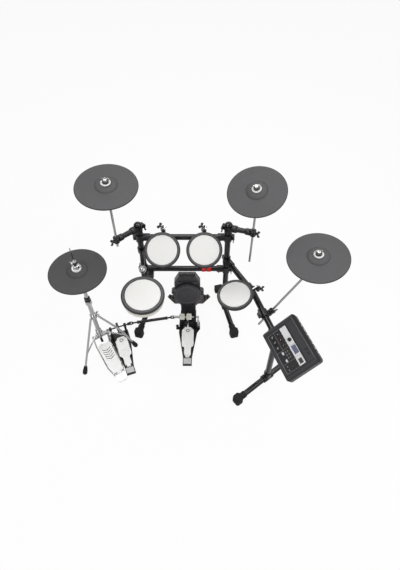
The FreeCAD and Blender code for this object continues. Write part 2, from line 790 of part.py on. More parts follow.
def build_cymbals():
    rods = []
    spindles = []
    arms = []
    bolts = []
    felts = []
    nuts = []
    names = ("left_crash", "right_crash", "ride_cymbal")
    for name, (centre, normal, tube_at, tube_axis, clamp_at, tail) in zip(names, boom_table()):
        pivot = centre - normal * TILTER_DROP
        axis = unit(pivot - clamp_at)
        arm, pair = boom_clamp(tube_at, tube_axis, clamp_at, axis)
        arms.append(arm)
        bolts += pair
        lower, spindle = boom(pivot, axis, clamp_at - axis * tail, normal)
        rods.append(lower)
        spindles.append(spindle)
        place = seat(centre, vec(1, 0, 0), normal)
        hub_low = HUB_RISE - HUB_WEB / 2 - SWING_GAP
        hub_top = HUB_RISE + HUB_WEB / 2 + SWING_GAP
        felts.append(put(felt(LOWER_FELT_R, hub_low - FELT_HEIGHT, False), place))
        felts.append(put(felt(FELT_R, hub_top, True), place))
        nut_at = centre + normal * (hub_top + TOP_FELT + SLIP)
        nuts.append(wing_nut(nut_at, normal, vec(1, 0, 0), NUT_HEIGHT, SPINDLE_R + SLIP))
        keep(name, put(cymbal(True), place))
    keep("cymbal_arms", *arms)
    keep("cymbal_booms", *(rods + spindles))
    keep("cymbal_felts", *felts)
    return bolts + nuts


def pad_shell(outer, head_r, depth, rim_top):
    """Cup with an inner ledge for the head; rim_top is the height of its upper edge."""
    body_r = outer - PAD_STEP
    inner = body_r - PAD_WALL
    ledge_r = head_r - LEDGE
    ledge_z = -HEAD_THICK - PIECE_GAP
    bottom = -depth
    corner = PAD_CORNER
    bend = corner * 0.29
    return lathe([(ledge_r, ledge_z), (ledge_r, ledge_z - PAD_WALL), (inner, ledge_z - 2 * PAD_WALL),
                  (inner, bottom + PAD_WALL), (0, bottom + PAD_WALL), (0, bottom),
                  (body_r - 2 * corner, bottom), (body_r - corner / 2, bottom + corner,
                                                  body_r - corner + bend, bottom + bend),
                  (body_r, ledge_z - 10), (outer, ledge_z - 6), (outer, rim_top - 8),
                  (outer - 8, rim_top, outer - 2.4, rim_top - 2.4),
                  (head_r + PIECE_GAP + 4, rim_top), (head_r + PIECE_GAP, rim_top - 3),
                  (head_r + PIECE_GAP, ledge_z)])


def pad_head(head_r):
    return lathe([(0, -HEAD_THICK), (head_r, -HEAD_THICK), (head_r, -1.5), (head_r - 1.5, 0),
                  (HEAD_FLAT, HEAD_DOME, head_r / 2, HEAD_DOME * 0.75), (0, HEAD_DOME)])


def pad_ears(eye, hinge, lift):
    """Two ears and their pin, rising from the hinge to the bottom of a pad."""
    inner = EYE_WIDTH / 2 + PIECE_GAP
    half = PAD_EAR_WIDTH / 2
    side = [(-half, lift), (-half * 0.8, 0), (half * 0.8, 0, 0, -half * 0.8), (half, lift)]
    ears = []
    for low in (inner, -inner - PAD_EAR):
        ears.append(side_slab(side, low, low + PAD_EAR))
    pin = rod(vec(-inner - 1, 0, 0), vec(inner + 1, 0, 0), EYE_PIN_R)
    place = seat(eye, hinge, vec(0, 0, 1))
    return [put(piece, place) for piece in ears + [pin]]


def pad_rod(free_end, bend, eye, hinge):
    """L-shaped rod that ends in an eye."""
    ahead = unit(eye - bend)
    body = bent_rod([free_end, bend, eye - ahead * (EYE_R * 0.6)], PAD_ROD_BEND, PAD_ROD_R)
    body = fuse(body, barrel(eye, hinge, EYE_R, EYE_WIDTH))
    return body.cut(barrel(eye, hinge, EYE_PIN_R + PIVOT_GAP, 2 * EYE_WIDTH))


def mount_pad(centre, normal, outer, head_r, depth, eye, hinge, split_rim):
    place = seat(centre, vec(1, 0, 0), normal)
    body = put(pad_shell(outer, head_r, depth, RIM_RISE), place)
    floor = centre - normal * (depth - PAD_WALL / 2)
    ahead = unit(vec(0, 0, 1).cross(hinge)) * (PAD_EAR_WIDTH / 2)
    lifts = [(floor - corner).dot(normal) / normal.z for corner in (eye + ahead, eye - ahead)]
    ears = pad_ears(eye, hinge, max(lifts))
    hollow = put(lathe([(0, PAD_WALL - depth), (outer - PAD_STEP - PAD_WALL, PAD_WALL - depth),
                        (outer - PAD_STEP - PAD_WALL, 0), (0, 0)]), place)
    ears = [piece.cut(hollow) for piece in ears]
    head = put(pad_head(head_r), place)
    if not split_rim:
        return fuse(body, *ears), None, head
    band = lathe([(0, -HEAD_THICK - SNARE_RIM_DEPTH), (2 * outer, -HEAD_THICK - SNARE_RIM_DEPTH),
                  (2 * outer, 2 * RIM_RISE), (0, 2 * RIM_RISE)])
    return fuse(body.cut(put(band, place)), *ears), body.common(put(band, place)), head


def build_drum_pads():
    up = vec(0, 0, 1)
    rods = []
    clamps = []
    bolts = []
    sizes = (PAD_SLEEVE, PAD_ARM_ROOT_R, PAD_ARM_TIP_R, PAD_GRIP_WALL, PAD_GRIP)

    def hold(tube_at, tube_axis, grip_at, free_end, bend, eye, hinge, bolt_turn):
        rods.append(pad_rod(free_end, bend, eye, hinge))
        clamp, bolt = offset_clamp(tube_at, tube_axis, grip_at, up, PAD_ROD_R, bolt_turn, sizes)
        clamps.append(clamp)
        bolts.append(bolt)

    for name, at in (("left_tom", LEFT_TOM_AT), ("right_tom", RIGHT_TOM_AT)):
        x = at[0]
        eye = vec(x, TOM_EYE_Y, TOM_ROD_LOW)
        grip_at = vec(x, TOM_ROD_Y, UPPER_Z + TOM_GRIP_RISE)
        hold(vec(x, POST_Y, UPPER_Z), vec(1, 0, 0), grip_at, vec(x, TOM_ROD_Y, TOM_ROD_TOP),
             vec(x, TOM_ROD_Y, TOM_ROD_LOW), eye, vec(1, 0, 0), TOM_BOLT_TURN)
        lock_at = grip_at + up * (PAD_GRIP / 2 + PIECE_GAP + LOCK_HEIGHT / 2)
        pin_way = unit(vec(1, 1, 0))
        rods.append(fuse(rods.pop(), barrel(lock_at, up, LOCK_R, LOCK_HEIGHT),
                         rod(lock_at, lock_at + pin_way * LOCK_PIN, LOCK_PIN_R)))
        shell, rim, head = mount_pad(vec(*at), unit(vec(*TOM_UP)), TOM_R, TOM_HEAD_R, TOM_DEPTH,
                                     eye, vec(1, 0, 0), False)
        keep(name + "_shell", shell)
        keep(name + "_head", head)

    start, bend, end = wing_points()
    leg = vec(FLOOR_ROD_AT[0], FLOOR_ROD_AT[1], FLOOR_ROD_Z)
    eye = vec(FLOOR_EYE[0], FLOOR_EYE[1], FLOOR_ROD_Z)
    hinge = unit(eye - leg).cross(up)
    run = unit(bend - start)
    tube_at = bend - run * (FLOOR_CLAMP_RUN + WING_BEND_R * 0.2)
    hold(tube_at, run, vec(leg.x, leg.y, WING_Z - 12), vec(leg.x, leg.y, FLOOR_ROD_FOOT), leg, eye, hinge,
         0)
    shell, rim, head = mount_pad(vec(*FLOOR_TOM_AT), unit(vec(*FLOOR_TOM_UP)), TOM_R, TOM_HEAD_R,
                                 TOM_DEPTH, eye, hinge, False)
    keep("floor_tom_shell", shell)
    keep("floor_tom_head", head)

    leg = vec(SNARE_ROD_AT[0], SNARE_ROD_AT[1], SNARE_ROD_Z)
    eye = vec(SNARE_ROD_AT[0], SNARE_EYE_Y, SNARE_ROD_Z)
    hold(vec(-POST_X, POST_Y, SNARE_CLAMP_Z), up, vec(leg.x, leg.y, SNARE_CLAMP_Z),
         vec(leg.x, leg.y, SNARE_ROD_TOP), leg, eye, vec(1, 0, 0), SNARE_BOLT_TURN)
    r = SNARE_BALL_R
    ball = lathe([(0, -r * 0.9), (r * 0.44, -r * 0.9), (r, 0, r * 0.83, -r * 0.56),
                  (r * 0.62, r * 0.78, r * 0.9, r * 0.44), (r * 0.62, r * 0.9), (r * 0.4, r * 1.05),
                  (0, r * 1.05)])
    ball.translate(vec(leg.x, leg.y, SNARE_ROD_TOP))
    rods.append(fuse(rods.pop(), ball))
    shell, rim, head = mount_pad(vec(*SNARE_AT), unit(vec(*SNARE_UP)), SNARE_R, SNARE_HEAD_R,
                                 SNARE_DEPTH, eye, vec(1, 0, 0), True)
    keep("snare_shell", shell)
    keep("snare_rim", rim)
    keep("snare_head", head)
    keep("pad_rods", *rods)
    keep("pad_clamps", *clamps)
    return bolts


def build_kick():
    lean = math.radians(KICK_LEAN)
    face = vec(0, -math.cos(lean), math.sin(lean))
    place = seat(vec(KICK_X, KICK_Y, KICK_Z), vec(1, 0, 0), face)
    pad = lathe([(0, 0), (KICK_R - 2 * KICK_RING, 0), (KICK_R - KICK_RING, 3, KICK_R - KICK_RING * 1.6, 0.8),
                 (KICK_R - 4, 2), (KICK_R, -4, KICK_R - 1, 0), (KICK_R, 4 - KICK_PAD_THICK),
                 (KICK_R - 5, -KICK_PAD_THICK), (0, -KICK_PAD_THICK)])
    pad.translate(vec(0, 0, -3))
    keep("kick_pad", put(pad, place))

    def up_at(z):
        return (z - KICK_Z) / math.cos(lean)

    low = up_at(KICK_PLATE + TOWER_FOOT)
    top = up_at(TOWER_TOP)
    shoulder = top - TOWER_SHOULDER
    half = TOWER_WIDTH / 2
    narrow = TOWER_TOP_WIDTH / 2
    waist = TOWER_WAIST / 2
    channel = CHANNEL_WIDTH / 2
    front = -3 - KICK_PAD_THICK
    wall = TOWER_WALL

    def tower_outline(inset):
        right = [(waist - inset, low - inset), (waist - inset, -WAIST_LOW), (half - inset, -WAIST_TOP),
                 (half - inset, shoulder), (narrow - inset, top - inset)]
        return right + [(-x, y) for x, y in reversed(right)]

    body = slab(tower_outline(0), front - TOWER_DEPTH, front - PIECE_GAP)
    body = body.cut(slab(tower_outline(wall), front - 2 * TOWER_DEPTH, front - wall))
    extras = []
    holes = []
    for side in (-1, 1):
        at = vec(side * LUG_RUN, up_at(LUG_Z), front - TOWER_DEPTH)
        extras.append(Part.makeCylinder(LUG_R, TOWER_DEPTH * 0.8, at))
        boss_at = vec(side * TOWER_BOSS_X, up_at(TOWER_BOSS_Z), front - wall + 1)
        extras.append(Part.makeCone(TOWER_BOSS_R, TOWER_BOSS_R * 0.8, TOWER_BOSS_RISE, boss_at))
        holes.append(Part.makeCylinder(BOLT_R, TOWER_BOSS_RISE, boss_at + vec(0, 0, wall)))
        screw_at = vec(side * TOWER_SCREW_X, up_at(TOWER_SCREW_Z), front - PIECE_GAP - 1)
        extras.append(Part.makeCone(TOWER_SCREW_R, TOWER_SCREW_R * 0.7, wall, screw_at))
        fin = Part.makeBox(wall, top - KICK_R - 2 * wall, CHANNEL_RISE + 1)
        fin.translate(vec(side * channel - wall / 2, KICK_R + wall, front - PIECE_GAP - 1))
        extras.append(fin)
        rib = Part.makeBox(wall, top - low - TOWER_SHOULDER * 0.5, TOWER_DEPTH - 2 * wall)
        rib.translate(vec(side * channel - wall / 2, low, front - TOWER_DEPTH + wall))
        extras.append(rib)
    panel = slab(round_box(wall - channel, channel - wall, KICK_R + 2 * wall, top - 2 * wall, wall),
                 front - wall / 2, front + CHANNEL_RISE)
    body = fuse(body, *extras).cut(panel)
    for hole in holes:
        body = body.cut(hole)
    tower = put(body, place)
    floor = Part.makeBox(4 * KICK_WING, 4 * KICK_WING, KICK_PLATE + TOWER_FOOT)
    floor.translate(vec(-2 * KICK_WING, -2 * KICK_WING, 0))
    tower = tower.cut(floor)
    keep("kick_tower", tower)

    neck = KICK_NECK / 2
    nose = PEDAL_Y + pedal_front() + 2 * PIECE_GAP
    tip_y = KICK_BACK - BLADE_TIP
    right = [(neck, nose), (neck, KICK_WING_FRONT - BLADE_CORNER), (neck + BLADE_CORNER, KICK_WING_FRONT),
             (KICK_WING - BLADE_SWEEP, KICK_WING_FRONT), (KICK_WING, tip_y),
             (KICK_WING - BLADE_TIP / 2, KICK_BACK)]
    plate = slab(right + [(-x, y) for x, y in reversed(right)], 0, KICK_PLATE)
    foot_back = KICK_Y + (TOWER_DEPTH + KICK_PAD_THICK + 3) / math.cos(lean) - KICK_Z * math.tan(lean)
    foot_front = foot_back - (TOWER_DEPTH - PIECE_GAP) / math.cos(lean)
    tray = slab(round_box(-waist - 6, waist + 6, foot_front - 6, foot_back + 8, 10),
                0, KICK_PLATE + TOWER_FOOT)
    plate.translate(vec(KICK_X, 0, 0))
    tray.translate(vec(KICK_X, 0, 0))
    pieces = [plate, tray]
    stay_top = place.multVec(vec(0, up_at(KICK_Z), front - TOWER_DEPTH - STAY_R - PIECE_GAP))
    for side in (-1, 1):
        lift = stay_top + vec(side * half * 0.8, 0, 0)
        foot = vec(KICK_X + side * (KICK_WING - 2 * BLADE_TIP), tip_y, KICK_PLATE / 2)
        pieces.append(rod(foot, lift, STAY_R))
        pieces.append(Part.makeSphere(STAY_R, lift))
        spike = vec(KICK_X + side * (KICK_WING - BLADE_TIP), tip_y, 0)
        pieces.append(Part.makeCylinder(SPIKE_R, 34, spike))
        pieces.append(Part.makeCylinder(SPIKE_R * 2, 6, spike + vec(0, 0, KICK_PLATE)))
    floor_cut = Part.makeBox(4 * KICK_WING, 4 * KICK_WING, 50)
    floor_cut.translate(vec(-2 * KICK_WING, -2 * KICK_WING, -50))
    keep("kick_base", fuse(*pieces).cut(floor_cut))


def board_z(y, rise):
    return HINGE_Z + (y - HINGE_Y) * math.tan(math.radians(rise))


def board_tilt(shape, rise):
    shape.rotate(vec(0, HINGE_Y, HINGE_Z), vec(1, 0, 0), rise)
    return shape


def board_start():
    return HINGE_Y + HINGE_R + 1


def stepped_board():
    """Half outline of a board with a narrow neck and a chamfered toe."""
    wide = BOARD_WIDTH / 2
    neck = NECK_WIDTH / 2
    step = wide - neck
    points = [(neck, board_start()), (neck, NECK_Y - step)]
    points += sway(neck, NECK_Y - step, wide, NECK_Y + step * 0.5)
    return points + [(wide, TOE_Y - TOE_CHAMFER), (TOE_WIDTH / 2, TOE_Y)]


def long_board():
    """Half outline of a plain board that widens to a round-cornered toe."""
    wide = HIHAT_BOARD_TOE / 2
    corner = HIHAT_TOE_ROUND
    bend = corner * 0.29
    return [(HIHAT_BOARD_HEEL / 2, board_start()), (wide, HIHAT_TOE_RUN - corner),
            (wide - corner, HIHAT_TOE_RUN, wide - bend, HIHAT_TOE_RUN - bend)]


def mirrored(half):
    """Whole outline from the half of it at x above 0, read from the heel to the toe."""
    points = list(half)
    for i in range(len(half) - 1, -1, -1):
        after = half[i + 1] if i + 1 < len(half) else ()
        points.append((-half[i][0], half[i][1]) + ((-after[2], after[3]) if len(after) == 4 else ()))
    return points


def footboard(half, rise):
    """Board with two ribs under it and a hinge knuckle at its heel end."""
    start, toe_y = half[0][1], half[-1][1]
    plate = slab(mirrored(half), HINGE_Z - BOARD_THICK / 2, HINGE_Z + BOARD_THICK / 2)
    ribs = []
    for side in (-1, 1):
        rib = Part.makeBox(BOARD_RIB, toe_y - TOE_CHAMFER - start, BOARD_THICK)
        rib.translate(vec(side * (half[0][0] - BOARD_RIB) - BOARD_RIB / 2, start, HINGE_Z - BOARD_THICK * 1.4))
        ribs.append(rib)
    knuckle = barrel(vec(0, HINGE_Y, HINGE_Z), vec(1, 0, 0), HINGE_R, 2 * HINGE_HALF - 2 * PIECE_GAP)
    bridge = Part.makeBox(2 * HINGE_HALF - 2 * PIECE_GAP, HINGE_R + 6, BOARD_THICK)
    bridge.translate(vec(PIECE_GAP - HINGE_HALF, HINGE_Y, HINGE_Z - BOARD_THICK / 2))
    body = fuse(plate, knuckle, bridge, *ribs)
    bore = barrel(vec(0, HINGE_Y, HINGE_Z), vec(1, 0, 0), HINGE_PIN_R + PIVOT_GAP, BOARD_WIDTH)
    return board_tilt(body.cut(bore), rise)


def heel_block(wide, corner):
    """Heel plate with two knuckles and the hinge pin between them."""
    half = wide / 2
    bend = corner * 0.29
    wedge = [(0, BASE_PLATE), (HEEL_LENGTH, BASE_PLATE), (HEEL_LENGTH, HEEL_HEIGHT),
             (6, HEEL_HEIGHT * 0.72), (0, HEEL_HEIGHT * 0.5, 1.2, HEEL_HEIGHT * 0.66)]
    plan = [(corner - half, 0), (half - corner, 0), (half, corner, half - bend, bend), (half, HEEL_LENGTH),
            (-half, HEEL_LENGTH), (-half, corner), (corner - half, 0, bend - half, bend)][1:]
    body = side_slab(wedge, -half, half).common(slab(plan, 0, 2 * HEEL_HEIGHT))
    pieces = []
    for side in (-1, 1):
        width = half - HINGE_HALF
        at = vec(side * (HINGE_HALF + width / 2), HINGE_Y, HINGE_Z)
        pieces.append(barrel(at, vec(1, 0, 0), HINGE_R, width))
        web = Part.makeBox(width, HINGE_Y - HEEL_LENGTH + 2, HINGE_Z)
        web.translate(vec(at.x - width / 2, HEEL_LENGTH - 2, BASE_PLATE))
        pieces.append(web)
    pin = barrel(vec(0, HINGE_Y, HINGE_Z), vec(1, 0, 0), HINGE_PIN_R, wide)
    return [body, pin] + pieces


def stanchion(x, bore_r):
    """Tapered upright with a bearing boss for an axle."""
    foot = STANCHION_FOOT / 2
    neck = STANCHION_TOP
    side = [(AXLE_Y - foot, BASE_PLATE), (AXLE_Y + foot, BASE_PLATE), (AXLE_Y + foot, BASE_PLATE * 3),
            (AXLE_Y + neck, AXLE_Z), (AXLE_Y - neck, AXLE_Z, AXLE_Y, AXLE_Z + neck),
            (AXLE_Y - foot, BASE_PLATE * 3)]
    half = STANCHION_THICK / 2
    post = side_slab(side, x - half, x + half)
    boss = barrel(vec(x, AXLE_Y, AXLE_Z), vec(1, 0, 0), STANCHION_TOP, STANCHION_THICK + 4)
    window = side_slab([(AXLE_Y - foot * 0.5, BASE_PLATE * 5), (AXLE_Y + foot * 0.5, BASE_PLATE * 5),
                        (AXLE_Y + neck * 0.4, AXLE_Z * 0.7), (AXLE_Y - neck * 0.4, AXLE_Z * 0.7)],
                       x - 2 * half, x + 2 * half)
    bore = barrel(vec(x, AXLE_Y, AXLE_Z), vec(1, 0, 0), bore_r + PIVOT_GAP, 4 * STANCHION_THICK)
    return fuse(post, boss).cut(window).cut(bore)


def pedal_front():
    return AXLE_Y + STANCHION_FOOT / 2 + BASE_EDGE


def pedal_frame(left_bore, right_bore, spring_side, gripping):
    """Base plate, heel block and two uprights of a pedal; a gripping one has a jaw in front."""
    half = HEEL_WIDTH / 2
    front = pedal_front()
    back = AXLE_Y - STANCHION_FOOT / 2 - BASE_EDGE
    side = STANCHION_X + STANCHION_THICK
    right = BASE_SIDE if spring_side > 0 else side
    left = BASE_SIDE if spring_side < 0 else side
    points = [(-half, 0), (half, 0), (half, HINGE_Y), (side, back - 30), (right, back), (right, front),
              (-left, front), (-left, back), (-side, back - 30), (-half, HINGE_Y)]
    plate = slab(points, 0, BASE_PLATE)
    inset = 18
    window = slab(round_box(-half + inset / 2, half - inset / 2, HINGE_Y + 30, back - 20, 10),
                  -1, BASE_PLATE + 1)
    hook_top = SPRING_FOOT - SPRING_WIRE_R - PIECE_GAP
    dish_r = SPRING_COIL_R + SPRING_WIRE_R
    hook = lathe([(0, 0), (dish_r / 2, 0), (dish_r / 2, hook_top - 4), (dish_r, hook_top - 2),
                  (dish_r, hook_top), (0, hook_top)])
    hook.translate(vec(spring_side * SPRING_X, AXLE_Y - ROCKER, 0))
    pieces = heel_block(HEEL_WIDTH, HEEL_CORNER)
    pieces += [stanchion(-STANCHION_X, left_bore), stanchion(STANCHION_X, right_bore), hook]
    if gripping:
        low = KICK_PLATE + PIECE_GAP
        jaw = [(front - JAW_REACH, BASE_PLATE - 1), (front, BASE_PLATE - 1), (front, low),
               (front + JAW_REACH, low), (front + JAW_REACH, low + JAW_LIP),
               (front - JAW_LIP, low + 2 * JAW_LIP), (front - JAW_REACH, BASE_PLATE + 1)]
        pieces.append(side_slab(jaw, -JAW_WIDTH / 2, JAW_WIDTH / 2))
    return fuse(plate.cut(window), *pieces)


def chain(rise):
    """Toe link under the board and a short run of chain up to the cam."""
    y = AXLE_Y + CAM_R + CHAIN_GAP + CHAIN_THICK / 2
    half = CHAIN_WIDTH / 2
    low = -BOARD_THICK / 2 - CHAIN_THICK
    link = Part.makeBox(CHAIN_WIDTH, y + CHAIN_THICK / 2 - TOE_Y + 40, CHAIN_THICK)
    link.translate(vec(-half, TOE_Y - 40, HINGE_Z + low - PIECE_GAP))
    link = board_tilt(link, rise)
    foot = board_z(y, rise) - CHAIN_THICK
    pitch = (AXLE_Z - foot) / CHAIN_LINKS
    plates = []
    for i in range(CHAIN_LINKS):
        z = foot + pitch * i
        wide = half if i % 2 == 0 else half * 0.7
        waist = wide * 0.72
        plate = front_slab([(-waist, z - 1), (wide, z - 1), (wide, z + pitch * 0.3),
                            (waist, z + pitch * 0.5), (wide, z + pitch * 0.7), (wide, z + pitch + 0.5),
                            (-wide, z + pitch + 0.5), (-wide, z + pitch * 0.7), (-waist, z + pitch * 0.5),
                            (-wide, z + pitch * 0.3)], y - CHAIN_THICK / 2, y + CHAIN_THICK / 2)
        plates.append(plate)
    return fuse(link, *plates)


def cam():
    """Sprocket disc, cut away where the chain never runs."""
    disc = barrel(vec(0, AXLE_Y, AXLE_Z), vec(1, 0, 0), CAM_R, CAM_WIDTH)
    hub = barrel(vec(0, AXLE_Y, AXLE_Z), vec(1, 0, 0), BEATER_HUB_R, CAM_WIDTH + 4)
    away = Part.makeBox(2 * CAM_WIDTH, 2 * CAM_R, 2 * CAM_R)
    away.translate(vec(-CAM_WIDTH, AXLE_Y - 2 * CAM_R - BEATER_HUB_R, AXLE_Z - CAM_R))
    return fuse(disc.cut(away), hub)


def beater_arm(x):
    """Hub on the axle and the rod up to the beater head."""
    turn = math.radians(BEATER_REST)
    out = vec(0, math.cos(turn), math.sin(turn))
    centre = vec(x, AXLE_Y, AXLE_Z)
    hub = barrel(centre, vec(1, 0, 0), BEATER_HUB_R, BEATER_HUB)
    tip = centre + out * (BEATER_ARM + BEATER_HEAD_R + 8)
    shaft = rod(centre, tip, BEATER_ROD_R)
    return [hub, shaft], centre + out * BEATER_ARM, out


def beater_head(at, out):
    """Felt drum with rounded shoulders, bored for the rod."""
    half = BEATER_HEAD_WIDTH / 2
    r = BEATER_HEAD_R
    body = lathe([(0, -half), (r - 6, -half), (r, 6 - half, r - 1.8, 1.8 - half), (r, half - 6),
                  (r - 6, half, r - 1.8, half - 1.8), (0, half)])
    body = put(body, seat(at, vec(0, 1, 0), vec(1, 0, 0)))
    return body.cut(barrel(at, out, BEATER_ROD_R + SLIP / 4, 4 * r))


def rocker(side):
    """Short lever on the axle that pulls the return spring."""
    x = side * SPRING_X
    centre = vec(x, AXLE_Y, AXLE_Z)
    pin_at = vec(x, AXLE_Y - ROCKER, AXLE_Z)
    hub = barrel(centre, vec(1, 0, 0), BEATER_HUB_R * 0.8, ROCKER_WIDTH)
    lever = Part.makeBox(ROCKER_WIDTH, ROCKER, ROCKER_WIDTH)
    lever.translate(pin_at - vec(ROCKER_WIDTH / 2, 0, ROCKER_WIDTH / 2))
    eye = barrel(pin_at, vec(1, 0, 0), ROCKER_EYE_R, ROCKER_WIDTH)
    peg_at = pin_at - vec(0, 0, ROCKER_EYE_R + PEG_PROUD - PEG_R)
    peg = barrel(peg_at, vec(1, 0, 0), PEG_R, 2 * (SPRING_COIL_R + PEG_R))
    return [hub, lever, eye, peg]


def spring(side):
    """Pull spring as one wire, with straight ends, standing on its hook."""
    steps = SPRING_TURNS * 4
    top = AXLE_Z - ROCKER_EYE_R - PEG_PROUD - PIECE_GAP - SPRING_WIRE_R
    foot = SPRING_FOOT
    pitch = (top - foot) / SPRING_TURNS
    rise = pitch / 4
    points = []
    for i in range(2 * steps + 1):
        turn = math.pi / 4 * i
        points.append(vec(SPRING_COIL_R * math.cos(turn), SPRING_COIL_R * math.sin(turn), foot + rise * i / 2))
    edges = []
    for i in range(steps):
        edges.append(Part.Arc(points[2 * i], points[2 * i + 1], points[2 * i + 2]).toShape())
    lead = 2 * SPRING_WIRE_R
    first = unit(edges[0].tangentAt(edges[0].FirstParameter))
    last = unit(edges[-1].tangentAt(edges[-1].LastParameter))
    edges.insert(0, Part.makeLine(points[0] - first * lead, points[0]))
    edges.append(Part.makeLine(points[-1], points[-1] + last * lead))
    circle = Part.Wire(Part.makeCircle(SPRING_WIRE_R, points[0] - first * lead, first))
    wire = Part.Wire(edges).makePipeShell([circle], True, False)
    print("spring least self gap", round(pitch - 2 * SPRING_WIRE_R, 2))
    wire.translate(vec(side * SPRING_X, AXLE_Y - ROCKER, 0))
    return wire


def pedal_place():
    return seat(vec(KICK_X, PEDAL_Y, 0), vec(1, 0, 0), vec(0, 0, 1))


def slave_place():
    turn = math.radians(SLAVE_TURN)
    return seat(vec(SLAVE_HEEL[0], SLAVE_HEEL[1], 0), vec(math.cos(turn), math.sin(turn), 0), vec(0, 0, 1))


def yoke(at, along, ears):
    """Fork of a universal joint; along points from the fork to the joint centre."""
    hub = Part.makeCylinder(YOKE_R, YOKE_HUB, vec(0, 0, -YOKE_BACK))
    fork = [hub]
    for side in (-1, 1):
        low = YOKE_OPEN if side > 0 else -YOKE_OPEN - YOKE_EAR
        ear = slab([(low, -YOKE_TIP), (low + YOKE_EAR, -YOKE_TIP), (low + YOKE_EAR, YOKE_TIP), (low, YOKE_TIP)],
                   -YOKE_BACK + YOKE_HUB - 2, YOKE_TIP)
        fork.append(ear)
    return put(fuse(*fork), seat(at, ears, along))


def build_pedals():
    main = pedal_place()
    slave = slave_place()
    across = vec(1, 0, 0)
    keep("pedal_frame", put(pedal_frame(AUX_R, AXLE_R, 1, True), main))
    keep("slave_frame", put(pedal_frame(AXLE_R, AXLE_R, -1, False), slave))
    for name, place in (("pedal", main), ("slave", slave)):
        keep(name + "_footboard", put(footboard(stepped_board(), TOE_RISE), place))
        keep(name + "_chain", put(chain(TOE_RISE), place))
    keep("pedal_spring", put(spring(1), main))
    keep("slave_spring", put(spring(-1), slave))

    aux_end = AUX_BEATER_X + BEATER_HUB / 2 + 2
    inside = AUX_BEATER_X - BEATER_HUB / 2 + 6
    axle = rod(vec(inside, AXLE_Y, AXLE_Z), vec(SPRING_X + ROCKER_WIDTH / 2 + 3, AXLE_Y, AXLE_Z), AXLE_R)
    arm, head_at, out = beater_arm(MAIN_BEATER_X)
    keep("main_beater", put(fuse(axle, cam(), *(arm + rocker(1))), main))
    keep("main_beater_felt", put(beater_head(head_at, out), main))

    centre = vec(0, AXLE_Y, AXLE_Z)
    joint_at = centre - across * AUX_JOINT_RUN
    sleeve = rod(centre - across * (AUX_JOINT_RUN - YOKE_BACK + 2), centre + across * aux_end, AUX_R)
    bore = rod(centre + across * (inside - 2), centre, AXLE_R + PIVOT_GAP)
    arm, head_at, out = beater_arm(AUX_BEATER_X)
    fork = yoke(joint_at, -across, vec(0, 0, 1))
    keep("aux_beater", put(fuse(sleeve, fork, *arm).cut(bore), main))
    keep("aux_beater_felt", put(beater_head(head_at, out), main))

    slave_joint = centre + across * JOINT_RUN
    axle = rod(centre - across * (SPRING_X + ROCKER_WIDTH / 2 + 3),
               slave_joint - across * (YOKE_BACK - 2), AXLE_R)
    fork = yoke(slave_joint, across, vec(0, 0, 1))
    keep("slave_axle", put(fuse(axle, cam(), fork, *rocker(-1)), slave))

    start = slave.multVec(slave_joint)
    end = main.multVec(joint_at)
    along = unit(end - start)
    ears = along.cross(vec(0, 0, 1))
    pieces = [rod(start + along * (YOKE_BACK - 2), end - along * (YOKE_BACK - 2), SHAFT_R),
              rod(start + along * 60, start + (end - start) * 0.62, SHAFT_SLEEVE_R),
              yoke(start, -along, ears), yoke(end, along, ears)]
    for at in (start, end):
        pieces.append(Part.makeSphere(SPIDER_R, at))
        pieces.append(barrel(at, ears, SPIDER_R * 0.5, 2 * YOKE_OPEN + 1))
        tip = YOKE_OPEN - PIECE_GAP
        pin = lathe([(0, -tip), (SPIDER_TIP_R, -tip), (SPIDER_R * 0.5, -SPIDER_R), (SPIDER_R * 0.5, SPIDER_R),
                     (SPIDER_TIP_R, tip), (0, tip)])
        pieces.append(put(pin, seat(at, along, vec(0, 0, 1))))
    keep("drive_shaft", fuse(*pieces))


def hihat_place():
    ahead = unit(vec(HIHAT_AT[0] - HIHAT_HEEL[0], HIHAT_AT[1] - HIHAT_HEEL[1], 0))
    return seat(vec(HIHAT_HEEL[0], HIHAT_HEEL[1], 0), ahead.cross(vec(0, 0, 1)), vec(0, 0, 1))


